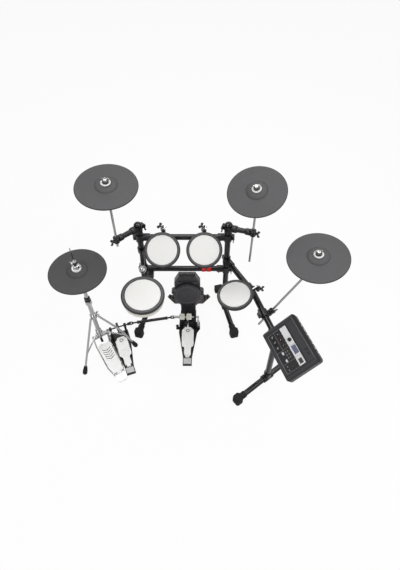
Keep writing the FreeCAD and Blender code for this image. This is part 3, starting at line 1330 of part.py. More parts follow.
def build_hihat():
    up = vec(0, 0, 1)
    axis = vec(HIHAT_AT[0], HIHAT_AT[1], 0)
    bore = HIHAT_ROD_R + PIVOT_GAP
    sensor_low = HIHAT_Z - SENSOR_DEPTH
    cup_top = sensor_low - HIHAT_TRAVEL - 1
    lower = rod(axis + up * HIHAT_FOOT_Z, axis + up * HIHAT_SPLIT, HIHAT_LOWER_R)
    upper = rod(axis + up * HIHAT_SPLIT, axis + up * (cup_top - SEAT_CUP), HIHAT_UPPER_R)
    collar = barrel(axis + up * HIHAT_SPLIT, up, HIHAT_LOWER_R + COLLAR_WALL, COLLAR_HEIGHT)
    ring = barrel(axis + up * (HIHAT_SPLIT + COLLAR_HEIGHT), up, HIHAT_UPPER_R + COLLAR_WALL, 12)
    cup = lathe([(0, -SEAT_CUP), (HIHAT_UPPER_R + 3, -SEAT_CUP), (SEAT_CUP_R, -4), (SEAT_CUP_R, 0), (0, 0)])
    cup = put(cup, seat(axis + up * cup_top, vec(1, 0, 0), up))
    collars = []
    for z in (LEG_COLLAR_Z, STRUT_COLLAR_Z):
        collars.append(barrel(axis + up * z, up, HIHAT_LOWER_R + COLLAR_WALL, COLLAR_HEIGHT))
    stand = fuse(lower, upper, collar, ring, cup, *collars)
    stand = stand.cut(rod(axis, axis + up * HIHAT_ROD_TOP, bore))
    bolt_holes = []
    bolts = []
    for z, turn in ((HIHAT_SPLIT, -50), (LEG_COLLAR_Z, 40)):
        out = vec(math.cos(math.radians(turn)), math.sin(math.radians(turn)), 0)
        face = HIHAT_LOWER_R + COLLAR_WALL
        at = axis + up * z + out * face
        bolt_holes.append(rod(at - out * 8, at + out * 8, BOLT_R + SLIP))
        bolts.append(wing_bolt(at + out * SLIP, out, up, 7))
    for hole in bolt_holes:
        stand = stand.cut(hole)
    keep("hihat_stand", stand)

    legs = []
    feet = []
    ground = Part.makeBox(4 * FOOT_HEIGHT, 4 * FOOT_HEIGHT, FOOT_HEIGHT)
    for (x, y), arch in zip(HIHAT_FEET, HIHAT_ARCHES):
        flat = unit(vec(x, y, 0) - axis)
        top = axis + up * LEG_COLLAR_Z + flat * (HIHAT_LOWER_R + COLLAR_WALL + HIHAT_LEG_R + PIECE_GAP)
        toe = vec(x, y, FOOT_R * 0.8)
        way = unit(toe - top)
        middle = (top + toe) * 0.5 + unit(up - way * up.dot(way)) * arch
        leg = rod(top, toe, HIHAT_LEG_R)
        if arch > 0:
            leg = bent_rod([top, middle, toe], HIHAT_ARCH_R, HIHAT_LEG_R)
        elbow = axis + up * STRUT_COLLAR_Z + flat * (HIHAT_LOWER_R + COLLAR_WALL + HIHAT_STRUT_R + PIECE_GAP)
        knee = middle + (toe - middle) * STRUT_SHARE
        strut = fuse(rod(elbow, knee, HIHAT_STRUT_R), Part.makeSphere(HIHAT_STRUT_R, elbow))
        legs.append(fuse(leg, Part.makeSphere(HIHAT_LEG_R, top), strut))
        boot_line = lathe([(0, -FOOT_TIP), (FOOT_R * 0.75, -FOOT_TIP), (FOOT_R, -FOOT_TIP * 0.4),
                           (FOOT_R, FOOT_HEIGHT * 0.3), (FOOT_R * 0.66, FOOT_HEIGHT), (0, FOOT_HEIGHT)])
        rubber = put(boot_line, seat(toe, vec(1, 0, 0), middle - toe))
        below = ground.copy()
        below.translate(vec(x - 2 * FOOT_HEIGHT, y - 2 * FOOT_HEIGHT, -FOOT_HEIGHT))
        feet.append(rubber.cut(below).cut(rod(middle, toe, HIHAT_LEG_R + SLIP)))
    keep("hihat_legs", *legs)

    place = hihat_place()
    stand_y = (vec(*HIHAT_AT, 0) - vec(*HIHAT_HEEL, 0)).Length
    half = HIHAT_HEEL_WIDTH / 2
    plate = slab(round_box(-half, half, 0, HINGE_Y + 6, HIHAT_HEEL_CORNER), 0, BASE_PLATE)
    pieces = [plate] + heel_block(HIHAT_HEEL_WIDTH, HIHAT_HEEL_CORNER)
    yoke_z = HIHAT_FOOT_Z - PIECE_GAP
    block = slab(round_box(-FRAME_ROD_X - 6, FRAME_ROD_X + 6, stand_y - 12, stand_y + 12, 8),
                 yoke_z - 16, yoke_z)
    pieces.append(block)
    for side in (-1, 1):
        x = side * FRAME_ROD_X
        low = FRAME_ROD_R + 1
        path = [vec(x, stand_y, yoke_z - 4), vec(x, stand_y, FRAME_BEND_Z), vec(x, NECK_Y - 8, FRAME_NECK_Z),
                vec(side * (half - 2), HINGE_Y + 4, low), vec(side * (half - 6), HEEL_LENGTH - 20, low)]
        pieces.append(bent_rod(path, FRAME_BEND_R, FRAME_ROD_R))
    frame = fuse(*pieces)
    frame = frame.cut(rod(vec(0, stand_y, 0), vec(0, stand_y, 2 * yoke_z), bore))
    keep("hihat_frame", put(frame, place))
    keep("hihat_footboard", put(footboard(long_board(), HIHAT_TOE_RISE), place))

    strap_low = board_z(stand_y - 14, HIHAT_TOE_RISE) + BOARD_THICK
    clutch_low = HIHAT_Z + HUB_RISE + HUB_WEB / 2
    pull_low = HIHAT_FOOT_Z - PULL_REACH
    pull = rod(axis + up * pull_low, axis + up * HIHAT_ROD_TOP, HIHAT_ROD_R)
    flange, collar_top, crown = CLUTCH_FLANGE, CLUTCH_BARREL, CLUTCH_LENGTH
    clutch = put(lathe([(0, 0), (FELT_R, 0), (FELT_R, flange), (CLUTCH_R, flange + 1), (CLUTCH_R, collar_top),
                        (CLUTCH_R - 3, collar_top + 2), (CLUTCH_R - 3, crown - 14), (CLUTCH_R, crown - 12),
                        (CLUTCH_R, crown), (0, crown)]), seat(axis + up * clutch_low, vec(1, 0, 0), up))
    side = hihat_place().Rotation.multVec(vec(1, 0, 0))
    wing_at = axis + up * (clutch_low + (flange + collar_top) / 2)
    nut_at = axis + up * (clutch_low + crown - 6)
    wing = wing_bolt(wing_at + side * CLUTCH_R, side, side.cross(up), 4, CLUTCH_BOLT_SHARE)
    nut = wing_bolt(nut_at - side * CLUTCH_R, -side, side.cross(up), 4, CLUTCH_BOLT_SHARE)
    strap = slab(round_box(-STRAP_WIDTH / 2, STRAP_WIDTH / 2, stand_y - 16, stand_y + STRAP_THICK, 2),
                 strap_low + 1, strap_low + 6)
    strap_rise = slab(round_box(-STRAP_WIDTH / 2, STRAP_WIDTH / 2, stand_y - STRAP_THICK,
                                stand_y + STRAP_THICK, 2), strap_low + 1, pull_low + 4)
    keep("hihat_rod", fuse(pull, clutch, wing, nut, put(strap, place), put(strap_rise, place)))
    sensor = lathe([(0, -SENSOR_DEPTH), (SENSOR_R - 8, -SENSOR_DEPTH), (SENSOR_R, 4 - SENSOR_DEPTH),
                    (SENSOR_R, 4), (0, 4)])
    sensor = put(sensor, seat(axis + up * HIHAT_Z, vec(1, 0, 0), up))
    hat = put(cymbal(False), seat(axis + up * HIHAT_Z, vec(1, 0, 0), up))
    hat = fuse(hat, sensor).cut(rod(axis, axis + up * HIHAT_ROD_TOP, HIHAT_ROD_R + SLIP))
    keep("hihat_pad", hat)
    return feet, bolts


def module_place():
    turn = math.radians(MODULE_TURN)
    tilt = math.radians(MODULE_TILT)
    along = vec(math.cos(turn), math.sin(turn), 0)
    level = vec(-math.sin(turn), math.cos(turn), 0)
    climb = level * math.cos(tilt) + vec(0, 0, math.sin(tilt))
    return seat(vec(*MODULE_AT), along, along.cross(climb))


def control(radius, height):
    """Skirted knob with a pointer rib, standing on its own stem."""
    body = lathe([(0, 0), (radius, 0), (radius, 3), (radius * 0.78, 4), (radius * 0.7, height - 1),
                  (radius * 0.6, height), (0, height)])
    rib = Part.makeBox(1.4, radius * 0.72, height - 5)
    rib.translate(vec(-0.7, 0, 5))
    stem = Part.makeCylinder(STEM_R, STEM_LENGTH, vec(0, 0, -STEM_LENGTH))
    return fuse(body, rib, stem)


def build_module():
    place = module_place()
    half = CASE_LENGTH / 2
    bevel = CASE_BEVEL
    side = [(-CASE_NEAR, 0, -CASE_NEAR - 3.5, -1.8), (CASE_FAR, 0), (CASE_FAR + bevel, -bevel * 1.3),
            (CASE_FAR + bevel, -CASE_DEPTH + bevel * 0.6), (CASE_FAR + bevel * 0.4, -CASE_DEPTH),
            (-CASE_NEAR + bevel, -CASE_DEPTH), (-CASE_NEAR - 5, -CASE_DEPTH + bevel), (-CASE_NEAR - 5, -6)]
    body = side_slab(side, -half, half)
    plan = slab(round_box(-half, half, -CASE_NEAR - 5, CASE_FAR + bevel, CASE_CORNER),
                -2 * CASE_DEPTH, CASE_DEPTH)
    body = body.common(plan)
    slope = CASE_END_SLOPE
    keel = CASE_END_RISE - CASE_DEPTH
    run = half - CASE_END_RUN
    end_cut = front_slab([(-half, keel), (-run, -CASE_DEPTH), (run, -CASE_DEPTH), (half, keel),
                          (half, -slope), (half - slope, 0), (slope - half, 0), (-half, -slope)],
                         -CASE_LENGTH, CASE_LENGTH)
    body = body.common(end_cut)
    cheek = half - CASE_CHEEK
    grooves = [Part.makeBox(2 * cheek, CASE_GROOVE, 2 * CASE_GROOVE,
                            vec(-cheek, CASE_FAR - CASE_RIM, -CASE_GROOVE))]
    for x in (-cheek, cheek):
        grooves.append(Part.makeBox(CASE_GROOVE, 2 * CASE_LENGTH, 2 * CASE_GROOVE,
                                    vec(x - CASE_GROOVE / 2, -CASE_LENGTH, -CASE_GROOVE)))
    for groove in grooves:
        body = body.cut(groove)
    long_half = PANEL_LENGTH / 2
    wide_half = PANEL_WIDTH / 2
    floor = PANEL_THICK + PANEL_RECESS
    pocket = slab(round_box(-long_half - PIECE_GAP, long_half + PIECE_GAP, -wide_half - PIECE_GAP,
                            wide_half + PIECE_GAP, 3), -floor, 1)
    body = body.cut(pocket)
    barrel_at = vec(0, 0, -CASE_DEPTH - MODULE_DROP)
    holder = barrel(barrel_at, vec(1, 0, 0), MODULE_BARREL_R, MODULE_BARREL)
    web = Part.makeBox(MODULE_BARREL, 2 * MODULE_BARREL_R, MODULE_DROP + 2)
    web.translate(vec(-MODULE_BARREL / 2, -MODULE_BARREL_R, -CASE_DEPTH - MODULE_DROP))
    body = fuse(body, holder, web)
    body = body.cut(barrel(barrel_at, vec(1, 0, 0), MODULE_SHAFT_R + PIVOT_GAP, 2 * MODULE_BARREL))
    panel = slab(round_box(-long_half, long_half, -wide_half, wide_half, 3), -floor, -PANEL_RECESS)

    knobs = []
    knob_z = PIECE_GAP - PANEL_RECESS
    for c, y in enumerate(KNOB_COLUMNS):
        for r, x in enumerate(KNOB_ROWS):
            knobs.append(("knob_%s%d" % ("ab"[c], r + 1), vec(x, y, knob_z), KNOB_R, KNOB_HEIGHT))
    knobs.append(("data_dial", vec(DIAL_AT[0], DIAL_AT[1], knob_z), DIAL_R, DIAL_HEIGHT))
    for name, at, radius, height in knobs:
        piece = control(radius, height)
        piece.translate(at)
        keep(name, put(piece, place))
        hole = Part.makeCylinder(STEM_R + PIVOT_GAP, 4 * STEM_LENGTH, at - vec(0, 0, 2 * STEM_LENGTH))
        panel = panel.cut(hole)
        well = Part.makeCylinder(STEM_R + 1, STEM_LENGTH + 2, at - vec(0, 0, STEM_LENGTH + 1))
        body = body.cut(well)
    length, width = BUTTON
    for name, x in (("play_button", BUTTON_ROWS[0]), ("stop_button", BUTTON_ROWS[1])):
        box = round_box(x - length / 2, x + length / 2, BUTTON_COLUMN - width / 2, BUTTON_COLUMN + width / 2,
                        width / 2 - 0.2)
        grown = round_box(x - length / 2 - PIVOT_GAP, x + length / 2 + PIVOT_GAP,
                          BUTTON_COLUMN - width / 2 - PIVOT_GAP,
                          BUTTON_COLUMN + width / 2 + PIVOT_GAP, width / 2)
        deep = -floor - BUTTON_TRAVEL - 1
        panel = panel.cut(slab(grown, -2 * floor, 2))
        body = body.cut(slab(grown, deep - 1, 0))
        cap = slab(box, deep + BUTTON_TRAVEL, BUTTON_HEIGHT - PANEL_RECESS)
        keep(name, put(cap, place))
    x, y = SCREEN_AT
    length, width = SCREEN
    glass = round_box(x - length / 2, x + length / 2, y - width / 2, y + width / 2, 2)
    frame = round_box(x - length / 2 - SLIP, x + length / 2 + SLIP,
                      y - width / 2 - SLIP, y + width / 2 + SLIP, 2)
    panel = panel.cut(slab(frame, -PANEL_RECESS - SCREEN_THICK, 1))
    keep("module_screen", put(slab(glass, -PANEL_RECESS - SCREEN_THICK, -PANEL_RECESS), place))
    keep("module_panel", put(panel, place))
    keep("module_case", put(body, place))

    along = place.Rotation.multVec(vec(1, 0, 0))
    hinge_at = place.multVec(barrel_at)
    post_at = vec(WING_POST[0], WING_POST[1], MOUNT_Z)
    shoulder = hinge_at - along * (MODULE_BARREL / 2 + MODULE_SHAFT_R + 6)
    outer = TUBE_R + CASTING_WALL
    root = post_at - vec(0, 0, MOUNT_ARM_DROP)
    pieces = [barrel(post_at, vec(0, 0, 1), outer, MOUNT_HEIGHT),
              Part.makeCone(MOUNT_ARM_R, MOUNT_TIP_R, (shoulder - root).Length, root, shoulder - root),
              Part.makeSphere(MOUNT_TIP_R, shoulder),
              rod(shoulder, hinge_at + along * (MODULE_BARREL / 2 + 4), MODULE_SHAFT_R)]
    mount = fuse(*pieces).cut(barrel(post_at, vec(0, 0, 1), TUBE_R + SLIP, 4 * MOUNT_HEIGHT))
    keep("module_mount", mount)


def build():
    feet, bolts = build_rack()
    bolts += build_cymbals()
    bolts += build_drum_pads()
    build_kick()
    build_pedals()
    more_feet, more_bolts = build_hihat()
    keep("rubber_feet", *(feet + more_feet))
    keep("wing_bolts", *(bolts + more_bolts))
    build_module()


build()
os.makedirs("parts", exist_ok=True)
for node_name, node_shape in NODES.items():
    node_shape.exportStep("parts/" + node_name + ".step")
print(len(NODES), "nodes")
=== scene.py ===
import logging
import math
from dataclasses import dataclass
from enum import Enum
from functools import reduce
from typing import Iterable, Optional, Sequence, Union

import bmesh
import bpy
from mathutils import Matrix, Vector, noise


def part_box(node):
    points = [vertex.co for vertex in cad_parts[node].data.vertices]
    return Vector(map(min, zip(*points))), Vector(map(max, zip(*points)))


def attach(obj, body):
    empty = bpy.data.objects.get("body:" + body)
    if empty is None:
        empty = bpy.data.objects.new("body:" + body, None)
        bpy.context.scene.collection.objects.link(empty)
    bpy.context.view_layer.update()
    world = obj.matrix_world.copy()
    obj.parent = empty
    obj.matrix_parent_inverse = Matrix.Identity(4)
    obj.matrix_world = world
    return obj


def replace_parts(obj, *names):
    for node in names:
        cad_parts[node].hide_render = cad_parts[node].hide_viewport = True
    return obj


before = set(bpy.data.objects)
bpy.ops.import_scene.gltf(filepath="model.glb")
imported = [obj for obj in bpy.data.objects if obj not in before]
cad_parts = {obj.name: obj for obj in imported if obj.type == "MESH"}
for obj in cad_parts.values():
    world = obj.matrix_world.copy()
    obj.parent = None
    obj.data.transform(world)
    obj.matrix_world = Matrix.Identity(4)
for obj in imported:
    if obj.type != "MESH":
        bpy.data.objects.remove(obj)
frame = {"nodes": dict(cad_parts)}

logging.basicConfig(level=logging.INFO, format="%(message)s")
log = logging.getLogger("drum_kit")

Triple = tuple[float, float, float]
Colour = tuple[float, float, float]
Pair = tuple[float, float]
Outline = tuple[Pair, ...]
Material = bpy.types.Material

ORIGIN: Triple = (0.0, 0.0, 0.0)
X_AXIS: Triple = (1.0, 0.0, 0.0)
Y_AXIS: Triple = (0.0, 1.0, 0.0)
Z_AXIS: Triple = (0.0, 0.0, 1.0)
WHITE = (1.0, 1.0, 1.0, 1.0)


class Body(Enum):
    """The rigid bodies that trim pieces ride on."""

    RACK = "rack"
    SNARE = "snare"
    MAIN_BEATER = "main_beater"
    AUX_BEATER = "aux_beater"
    PEDAL = "pedal"
    SLAVE = "slave_pedal"
    SHAFT = "drive_shaft"
    HIHAT_PEDAL = "hihat_pedal"
    MODULE = "module"
    KNOB_A1 = "knob_a1"
    KNOB_A2 = "knob_a2"
    KNOB_A3 = "knob_a3"
    KNOB_B1 = "knob_b1"
    KNOB_B2 = "knob_b2"
    KNOB_B3 = "knob_b3"


class Slot(Enum):
    """The record's material slots that trim pieces take their finish from."""

    TUBE = "black_tube"
    CASTING = "black_casting"
    BOLT = "bolt_black"
    CHROME = "bright_chrome"
    BOARD = "board_silver"
    KNOB = "knob_black"
    KEY = "button_grey"
    KICK = "kick_black"
    PALE_FELT = "pale_felt"
    CREAM_FELT = "cream_felt"
    SNARE = "snare_white"


class Wire:
    """One shader output; arithmetic on wires adds Math nodes to their bench."""

    def __init__(self, bench: "Bench", socket: bpy.types.NodeSocket) -> None:
        """Keeps the socket and the bench that owns it."""
        self.bench = bench
        self.socket = socket

    def _math(self, operation: str, first: "Value", second: "Value" = 0.0) -> "Wire":
        """The value of one added Math node."""
        return self.bench.node("Math", {0: first, 1: second}, operation=operation)

    def __add__(self, other: "Value") -> "Wire":
        """Sum, in either order."""
        return self._math("ADD", self, other)

    def __sub__(self, other: "Value") -> "Wire":
        """Difference."""
        return self._math("SUBTRACT", self, other)

    def __rsub__(self, other: "Value") -> "Wire":
        """Reflected difference."""
        return self._math("SUBTRACT", other, self)

    def __mul__(self, other: "Value") -> "Wire":
        """Product, in either order."""
        return self._math("MULTIPLY", self, other)

    __radd__ = __add__
    __rmul__ = __mul__

    def __abs__(self) -> "Wire":
        """Absolute value."""
        return self._math("ABSOLUTE", self)

    def at_least(self, other: "Value") -> "Wire":
        """The larger of two values."""
        return self._math("MAXIMUM", self, other)

    def ripple(self, pitch: float) -> "Wire":
        """A sine of the value, from -1 to 1, that repeats over a pitch."""
        return self._math("SINE", self * (2 * math.pi / pitch))

    def step(self, low: float, high: float) -> "Wire":
        """A soft step: 0 up to low, 1 from high on."""
        ends = {"Value": self, "From Min": low, "From Max": high, "To Min": 0.0, "To Max": 1.0}
        return self.bench.node("MapRange", ends, interpolation_type="SMOOTHSTEP")

    def band(self, centre: float, half: float, soft: float) -> "Wire":
        """1 within half of centre, falling to 0 over soft."""
        return 1.0 - abs(self - centre).step(half, half + soft)

    def between(self, low: float, high: float, soft: float) -> "Wire":
        """1 from low to high, falling to 0 over soft."""
        return self.band((low + high) / 2, (high - low) / 2, soft)

    def painted(self, mask: "Value", paint: "Paint") -> "Wire":
        """This colour with a paint over it where the mask is 1."""
        return self.bench.mix(mask, self, paint)


Value = Union[Wire, float]
Paint = Union[Wire, Colour]


def any_of(masks: Iterable[Wire]) -> Wire:
    """1 where any of the masks is."""
    return reduce(Wire.at_least, masks)


class Bench:
    """The node tree of one material, or of the world."""

    def __init__(self, owner: Union[Material, bpy.types.World]) -> None:
        """Starts an empty tree.

        Args:
            owner: What the tree shades.
        """
        owner.use_nodes = True
        self.owner = owner
        self.tree = owner.node_tree
        self.tree.nodes.clear()

    def node(self, kind: str, inputs: dict[Union[int, str], object], output: Union[int, str] = 0,
             **settings: object) -> Wire:
        """Adds any node.

        Args:
            kind: The node's type, less its common prefix.
            inputs: Socket values or wires, by index or name.
            output: The output to return.
            settings: Properties, set before the sockets.

        Returns:
            The chosen output, or the chosen input of a node that ends a tree.
        """
        made = self.tree.nodes.new("ShaderNode" + kind)
        for key, value in settings.items():
            setattr(made, key, value)
        for key, value in inputs.items():
            if isinstance(value, Wire):
                self.tree.links.new(value.socket, made.inputs[key])
            else:
                made.inputs[key].default_value = value
        sockets = made.outputs if len(made.outputs) else made.inputs
        return Wire(self, sockets[output])

    def vector(self, operation: str, first: object, second: object = ORIGIN, output: int = 0) -> Wire:
        """One step of vector arithmetic: output 0 is a vector, output 1 a number."""
        return self.node("VectorMath", {0: first, 1: second}, output, operation=operation)

    def place(self) -> Wire:
        """The point on the object at rest, in metres."""
        return self.node("TexCoord", {}, "Object")

    def axis(self, index: int) -> Wire:
        """One coordinate of the point: 0 is X, 1 is Y, 2 is Z."""
        return self.node("SeparateXYZ", {0: self.place()}, index)

    def along(self, origin: Triple, direction: Triple) -> Wire:
        """Signed distance of the point from origin along a unit vector, in metres."""
        return self.vector("DOT_PRODUCT", self.vector("SUBTRACT", self.place(), origin), direction, 1)

    def radius(self, disc: "Disc") -> Wire:
        """Distance of the point from a disc's own axis, in metres."""
        cross = self.vector("CROSS_PRODUCT", self.vector("SUBTRACT", self.place(), disc.centre), disc.normal)
        return self.vector("LENGTH", cross, ORIGIN, 1)

    def stretched(self, factors: Triple) -> Wire:
        """The point with its coordinates scaled."""
        return self.vector("MULTIPLY", self.place(), factors)

    def noise(self, scale: float, octaves: float = 2.0, spot: Optional[Wire] = None) -> Wire:
        """Cloudy noise from 0 to 1, with so many cells per metre, at the point or at another spot."""
        return self.node("TexNoise", {"Vector": spot or self.place(), "Scale": scale, "Detail": octaves})

    def mix(self, factor: Value, first: Paint, second: Paint) -> Wire:
        """Blends two colours: factor 0 gives the first, 1 the second."""
        ends = [end if isinstance(end, Wire) else (*end, 1.0) for end in (first, second)]
        return self.node("Mix", {0: factor, 6: ends[0], 7: ends[1]}, 2, data_type="RGBA")

    def rays(self, *kinds: str) -> Wire:
        """1 for rays of any of the kinds, 0 for others."""
        return any_of([self.node("LightPath", {}, kind) for kind in kinds])

    def surface(self, colour: Wire, rough: Value, relief: Optional[Wire] = None, depth: float = 0.0,
                metal: Value = 0.0, specular: float = 0.5,
                extra: Optional[dict[str, object]] = None) -> Material:
        """Ends the material in one Principled shader.

        Args:
            colour: Its base colour.
            rough: Its roughness.
            relief: The height that bumps it, if any.
            depth: The relief's depth in metres.
            metal: How far it is metal.
            specular: Its specular level.
            extra: Values of other sockets.

        Returns:
            The finished material.
        """
        sockets = {"Base Color": colour, "Roughness": rough, "Metallic": metal,
                   "Specular IOR Level": specular, **(extra or {})}
        if relief:
            sockets["Normal"] = self.node("Bump", {"Strength": 1.0, "Distance": depth, "Height": relief})
        self.node("OutputMaterial", {0: self.node("BsdfPrincipled", sockets)})
        return self.owner


@dataclass(frozen=True)
class Disc:
    """A round pad: its centre, its normal and its radius, in metres."""

    centre: Triple
    normal: Triple
    radius: float

    def unit(self) -> "Disc":
        """The same disc, with a normal of length 1."""
        return Disc(self.centre, tuple(Vector(self.normal).normalized()), self.radius)

    def place(self) -> Matrix:
        """The place on the disc's centre, with local z along its normal."""
        return place_at(self.centre, X_AXIS, self.normal)


@dataclass(frozen=True)
class Finish:
    """A finish with a name and a main colour."""

    name: str
    colour: Colour

    def bench(self) -> Bench:
        """The node tree of a new material."""
        return Bench(bpy.data.materials.new(self.name))

    def shade(self, factor: float) -> Colour:
        """The main colour made lighter or darker."""
        return tuple(min(1.0, c * factor) for c in self.colour)

    def tone(self, mask: Wire, low: float, high: float) -> Wire:
        """The main colour, from one shade of it where the mask is 0 to another where it is 1."""
        return mask.bench.mix(mask, self.shade(low), self.shade(high))

    def make(self) -> Material:
        """Builds the material, which each kind of finish does in its own way."""
        raise NotImplementedError


@dataclass(frozen=True)
class PowderCoat(Finish):
    """Black baked paint on tube and castings, with orange peel and faint scuffs."""

    rough: float = 0.36
    peel: float = 520.0
    scuff: Pair = (0.62, 0.74)
    scuff_grain: Triple = (1.0, 1.0, 0.25)

    def make(self) -> Material:
        """Builds the coat.

        Returns:
            The material.
        """
        bench = self.bench()
        cloud = bench.noise(18.0, 4.0)
        scuff = bench.noise(90.0, 6.0, bench.stretched(self.scuff_grain)).step(*self.scuff)
        colour = self.tone(cloud, 0.75, 1.3).painted(scuff * 0.35, self.shade(2.4))
        rough = self.rough + cloud * 0.06 + scuff * 0.1
        return bench.surface(colour, rough, bench.noise(self.peel), depth=0.00003, specular=0.25)


@dataclass(frozen=True)
class Plate(Finish):
    """Bright metal with faint hand marks."""

    rough: float = 0.1

    def make(self) -> Material:
        """Builds the plating.

        Returns:
            The material.
        """
        bench = self.bench()
        smear = bench.noise(45.0, 5.0)
        line = bench.noise(1500.0)
        return bench.surface(self.tone(smear, 0.92, 1.0), self.rough + smear * 0.08 + line * 0.03, line,
                             depth=0.00002, metal=1.0)


@dataclass(frozen=True)
class MixedBolts(Finish):
    """Wing bolts: black on the rack, plated on the cymbals and the hi-hat, dull metal behind the toms."""

    plated: Colour = (0.46, 0.455, 0.435)
    dull: Colour = (0.1, 0.1, 0.104)
    cymbal_height: Pair = (1.0, 1.001)
    tom_back: Pair = (0.098, 0.099)
    tom_side: Pair = (0.2, 0.001)
    hihat_side: Pair = (-0.501, -0.5)

    def make(self) -> Material:
        """Builds the three finishes in one, parted by place.

        Returns:
            The material.
        """
        bench = self.bench()
        side, back, height = (bench.axis(index) for index in range(3))
        behind = back.step(*self.tom_back) * abs(side).band(0.0, *self.tom_side)
        bright = any_of((height.step(*self.cymbal_height), behind, 1.0 - side.step(*self.hihat_side)))
        cloud = bench.noise(60.0, 4.0)
        colour = self.tone(cloud, 0.8, 1.4).painted(bright, bench.mix(behind, self.plated, self.dull))
        rough = 0.42 - bright * 0.26 + cloud * 0.06
        return bench.surface(colour, rough, bench.noise(600.0), depth=0.00006, metal=bright)


@dataclass(frozen=True)
class Moulded(Finish):
    """Moulded plastic with a spark-eroded grain."""

    rough: float = 0.5
    grain: float = 1400.0

    def make(self) -> Material:
        """Builds the plastic.

        Returns:
            The material.
        """
        bench = self.bench()
        grain = bench.noise(self.grain, 3.0)
        colour = self.tone(bench.noise(12.0, 3.0), 0.9, 1.12)
        return bench.surface(colour, self.rough + grain * 0.12, grain, depth=0.00012)


@dataclass(frozen=True)
class Rubber(Finish):
    """Plain matt rubber with a dusty bloom."""

    def make(self) -> Material:
        """Builds the rubber.

        Returns:
            The material.
        """
        bench = self.bench()
        bloom = bench.noise(35.0, 5.0)
        colour = self.tone(bloom, 0.85, 1.25)
        rough = 0.72 + bloom * 0.15
        return bench.surface(colour, rough, bench.noise(1100.0, 3.0), depth=0.00015, specular=0.2)


@dataclass(frozen=True)
class CymbalRubber(Finish):
    """Matt cymbal rubber with turned lines, a darker lip and painted shade at the step round the cup."""

    disc: Disc
    lip: Pair = (-0.0045, -0.0025)
    bell_shade: Triple = (0.058, 0.0012, 0.005)
    pitch: float = 0.0024

    def make(self) -> Material:
        """Builds the rubber about the pad's own axis.

        Returns:
            The material.
        """
        bench = self.bench()
        radius = bench.radius(self.disc)
        lip = radius.step(*(self.disc.radius + end for end in self.lip))
        bloom = bench.noise(28.0, 5.0)
        # Painted shade: the band at the step round the cup is darkened.
        colour = self.tone(bloom, 0.93, 1.08).painted(radius.band(*self.bell_shade) * 0.55, self.shade(0.5))
        grain = bench.noise(900.0, 3.0) + radius.ripple(self.pitch) * 0.22
        colour = colour.painted(lip, self.shade(0.28))
        return bench.surface(colour, 0.6 + bloom * 0.12, grain, depth=0.00014, specular=0.15)


@dataclass(frozen=True)
class DrumHead(Finish):
    """Off-white silicone head with fine cells and a soft edge shadow."""

    disc: Disc
    shadow: float = 0.004

    def make(self) -> Material:
        """Builds the head about its own axis.

        Returns:
            The material.
        """
        bench = self.bench()
        edge = bench.radius(self.disc).step(self.disc.radius - self.shadow, self.disc.radius)
        cells = bench.node("TexVoronoi", {"Vector": bench.place(), "Scale": 900.0})
        cloud = bench.noise(14.0, 4.0)
        colour = self.tone(cloud, 0.965, 1.02).painted(edge * 0.3, self.shade(0.6))
        return bench.surface(colour, 0.48 + cloud * 0.1, cells, depth=0.00007, specular=0.35)


@dataclass(frozen=True)
class PadRim(Finish):
    """Rim rubber: a grey bevel round the head, a near-black shoulder outside it, and painted shade in the gap
    at the head's edge.
    """

    disc: Disc
    head: float
    shoulder: Pair = (-0.0095, -0.0083)
    crevice_shade: Pair = (0.0009, 0.0008)

    def make(self) -> Material:
        """Builds the rim about the pad's own axis.

        Returns:
            The material.
        """
        bench = self.bench()
        radius = bench.radius(self.disc)
        outside = radius.step(*(self.disc.radius + end for end in self.shoulder))
        bloom = bench.noise(35.0, 5.0)
        colour = self.tone(bloom, 0.88, 1.15).painted(outside, self.shade(0.2))
        # Painted shade: a dark line in the gap where the head meets the rim.
        colour = colour.painted(radius.band(self.head, *self.crevice_shade), self.shade(0.12))
        rough = 0.5 + bloom * 0.15 + outside * 0.08
        return bench.surface(colour, rough, bench.noise(1000.0, 3.0), depth=0.00013, specular=0.4)


@dataclass(frozen=True)
class KickRubber(Finish):
    """Kick pad rubber with a moulded ring round the striking place, raised by bump and painted lighter as a
    painted highlight.
    """

    disc: Disc
    ring: Triple = (0.079, 0.0012, 0.001)
    worn: Triple = (0.0, 0.03, 0.02)

    def make(self) -> Material:
        """Builds the rubber about the pad's own axis.

        Returns:
            The material.
        """
        bench = self.bench()
        radius = bench.radius(self.disc)
        ring = radius.band(*self.ring)
        worn = radius.band(*self.worn) * bench.noise(70.0, 5.0).step(0.4, 0.65)
        grain = bench.noise(1000.0, 3.0)
        # The ring's lighter tone is a painted highlight; the lighter worn patch in the middle is real wear.
        colour = self.tone(ring * 0.7, 1.0, 2.6).painted(worn * 0.4, self.shade(1.5))
        return bench.surface(colour, 0.62 + grain * 0.12, grain * 0.4 + ring * 6.0, depth=0.0002)


@dataclass(frozen=True)
class Felt(Finish):
    """Pressed wool felt with loose fibres."""

    def make(self) -> Material:
        """Builds the felt.

        Returns:
            The material.
        """
        bench = self.bench()
        fibre = bench.noise(900.0, 6.0)
        wool = fibre + bench.noise(160.0, 4.0) * 2.0
        colour = self.tone(fibre, 0.75, 1.08)
        return bench.surface(colour, 0.92, wool, depth=0.0004, extra={"Sheen Weight": 0.35})


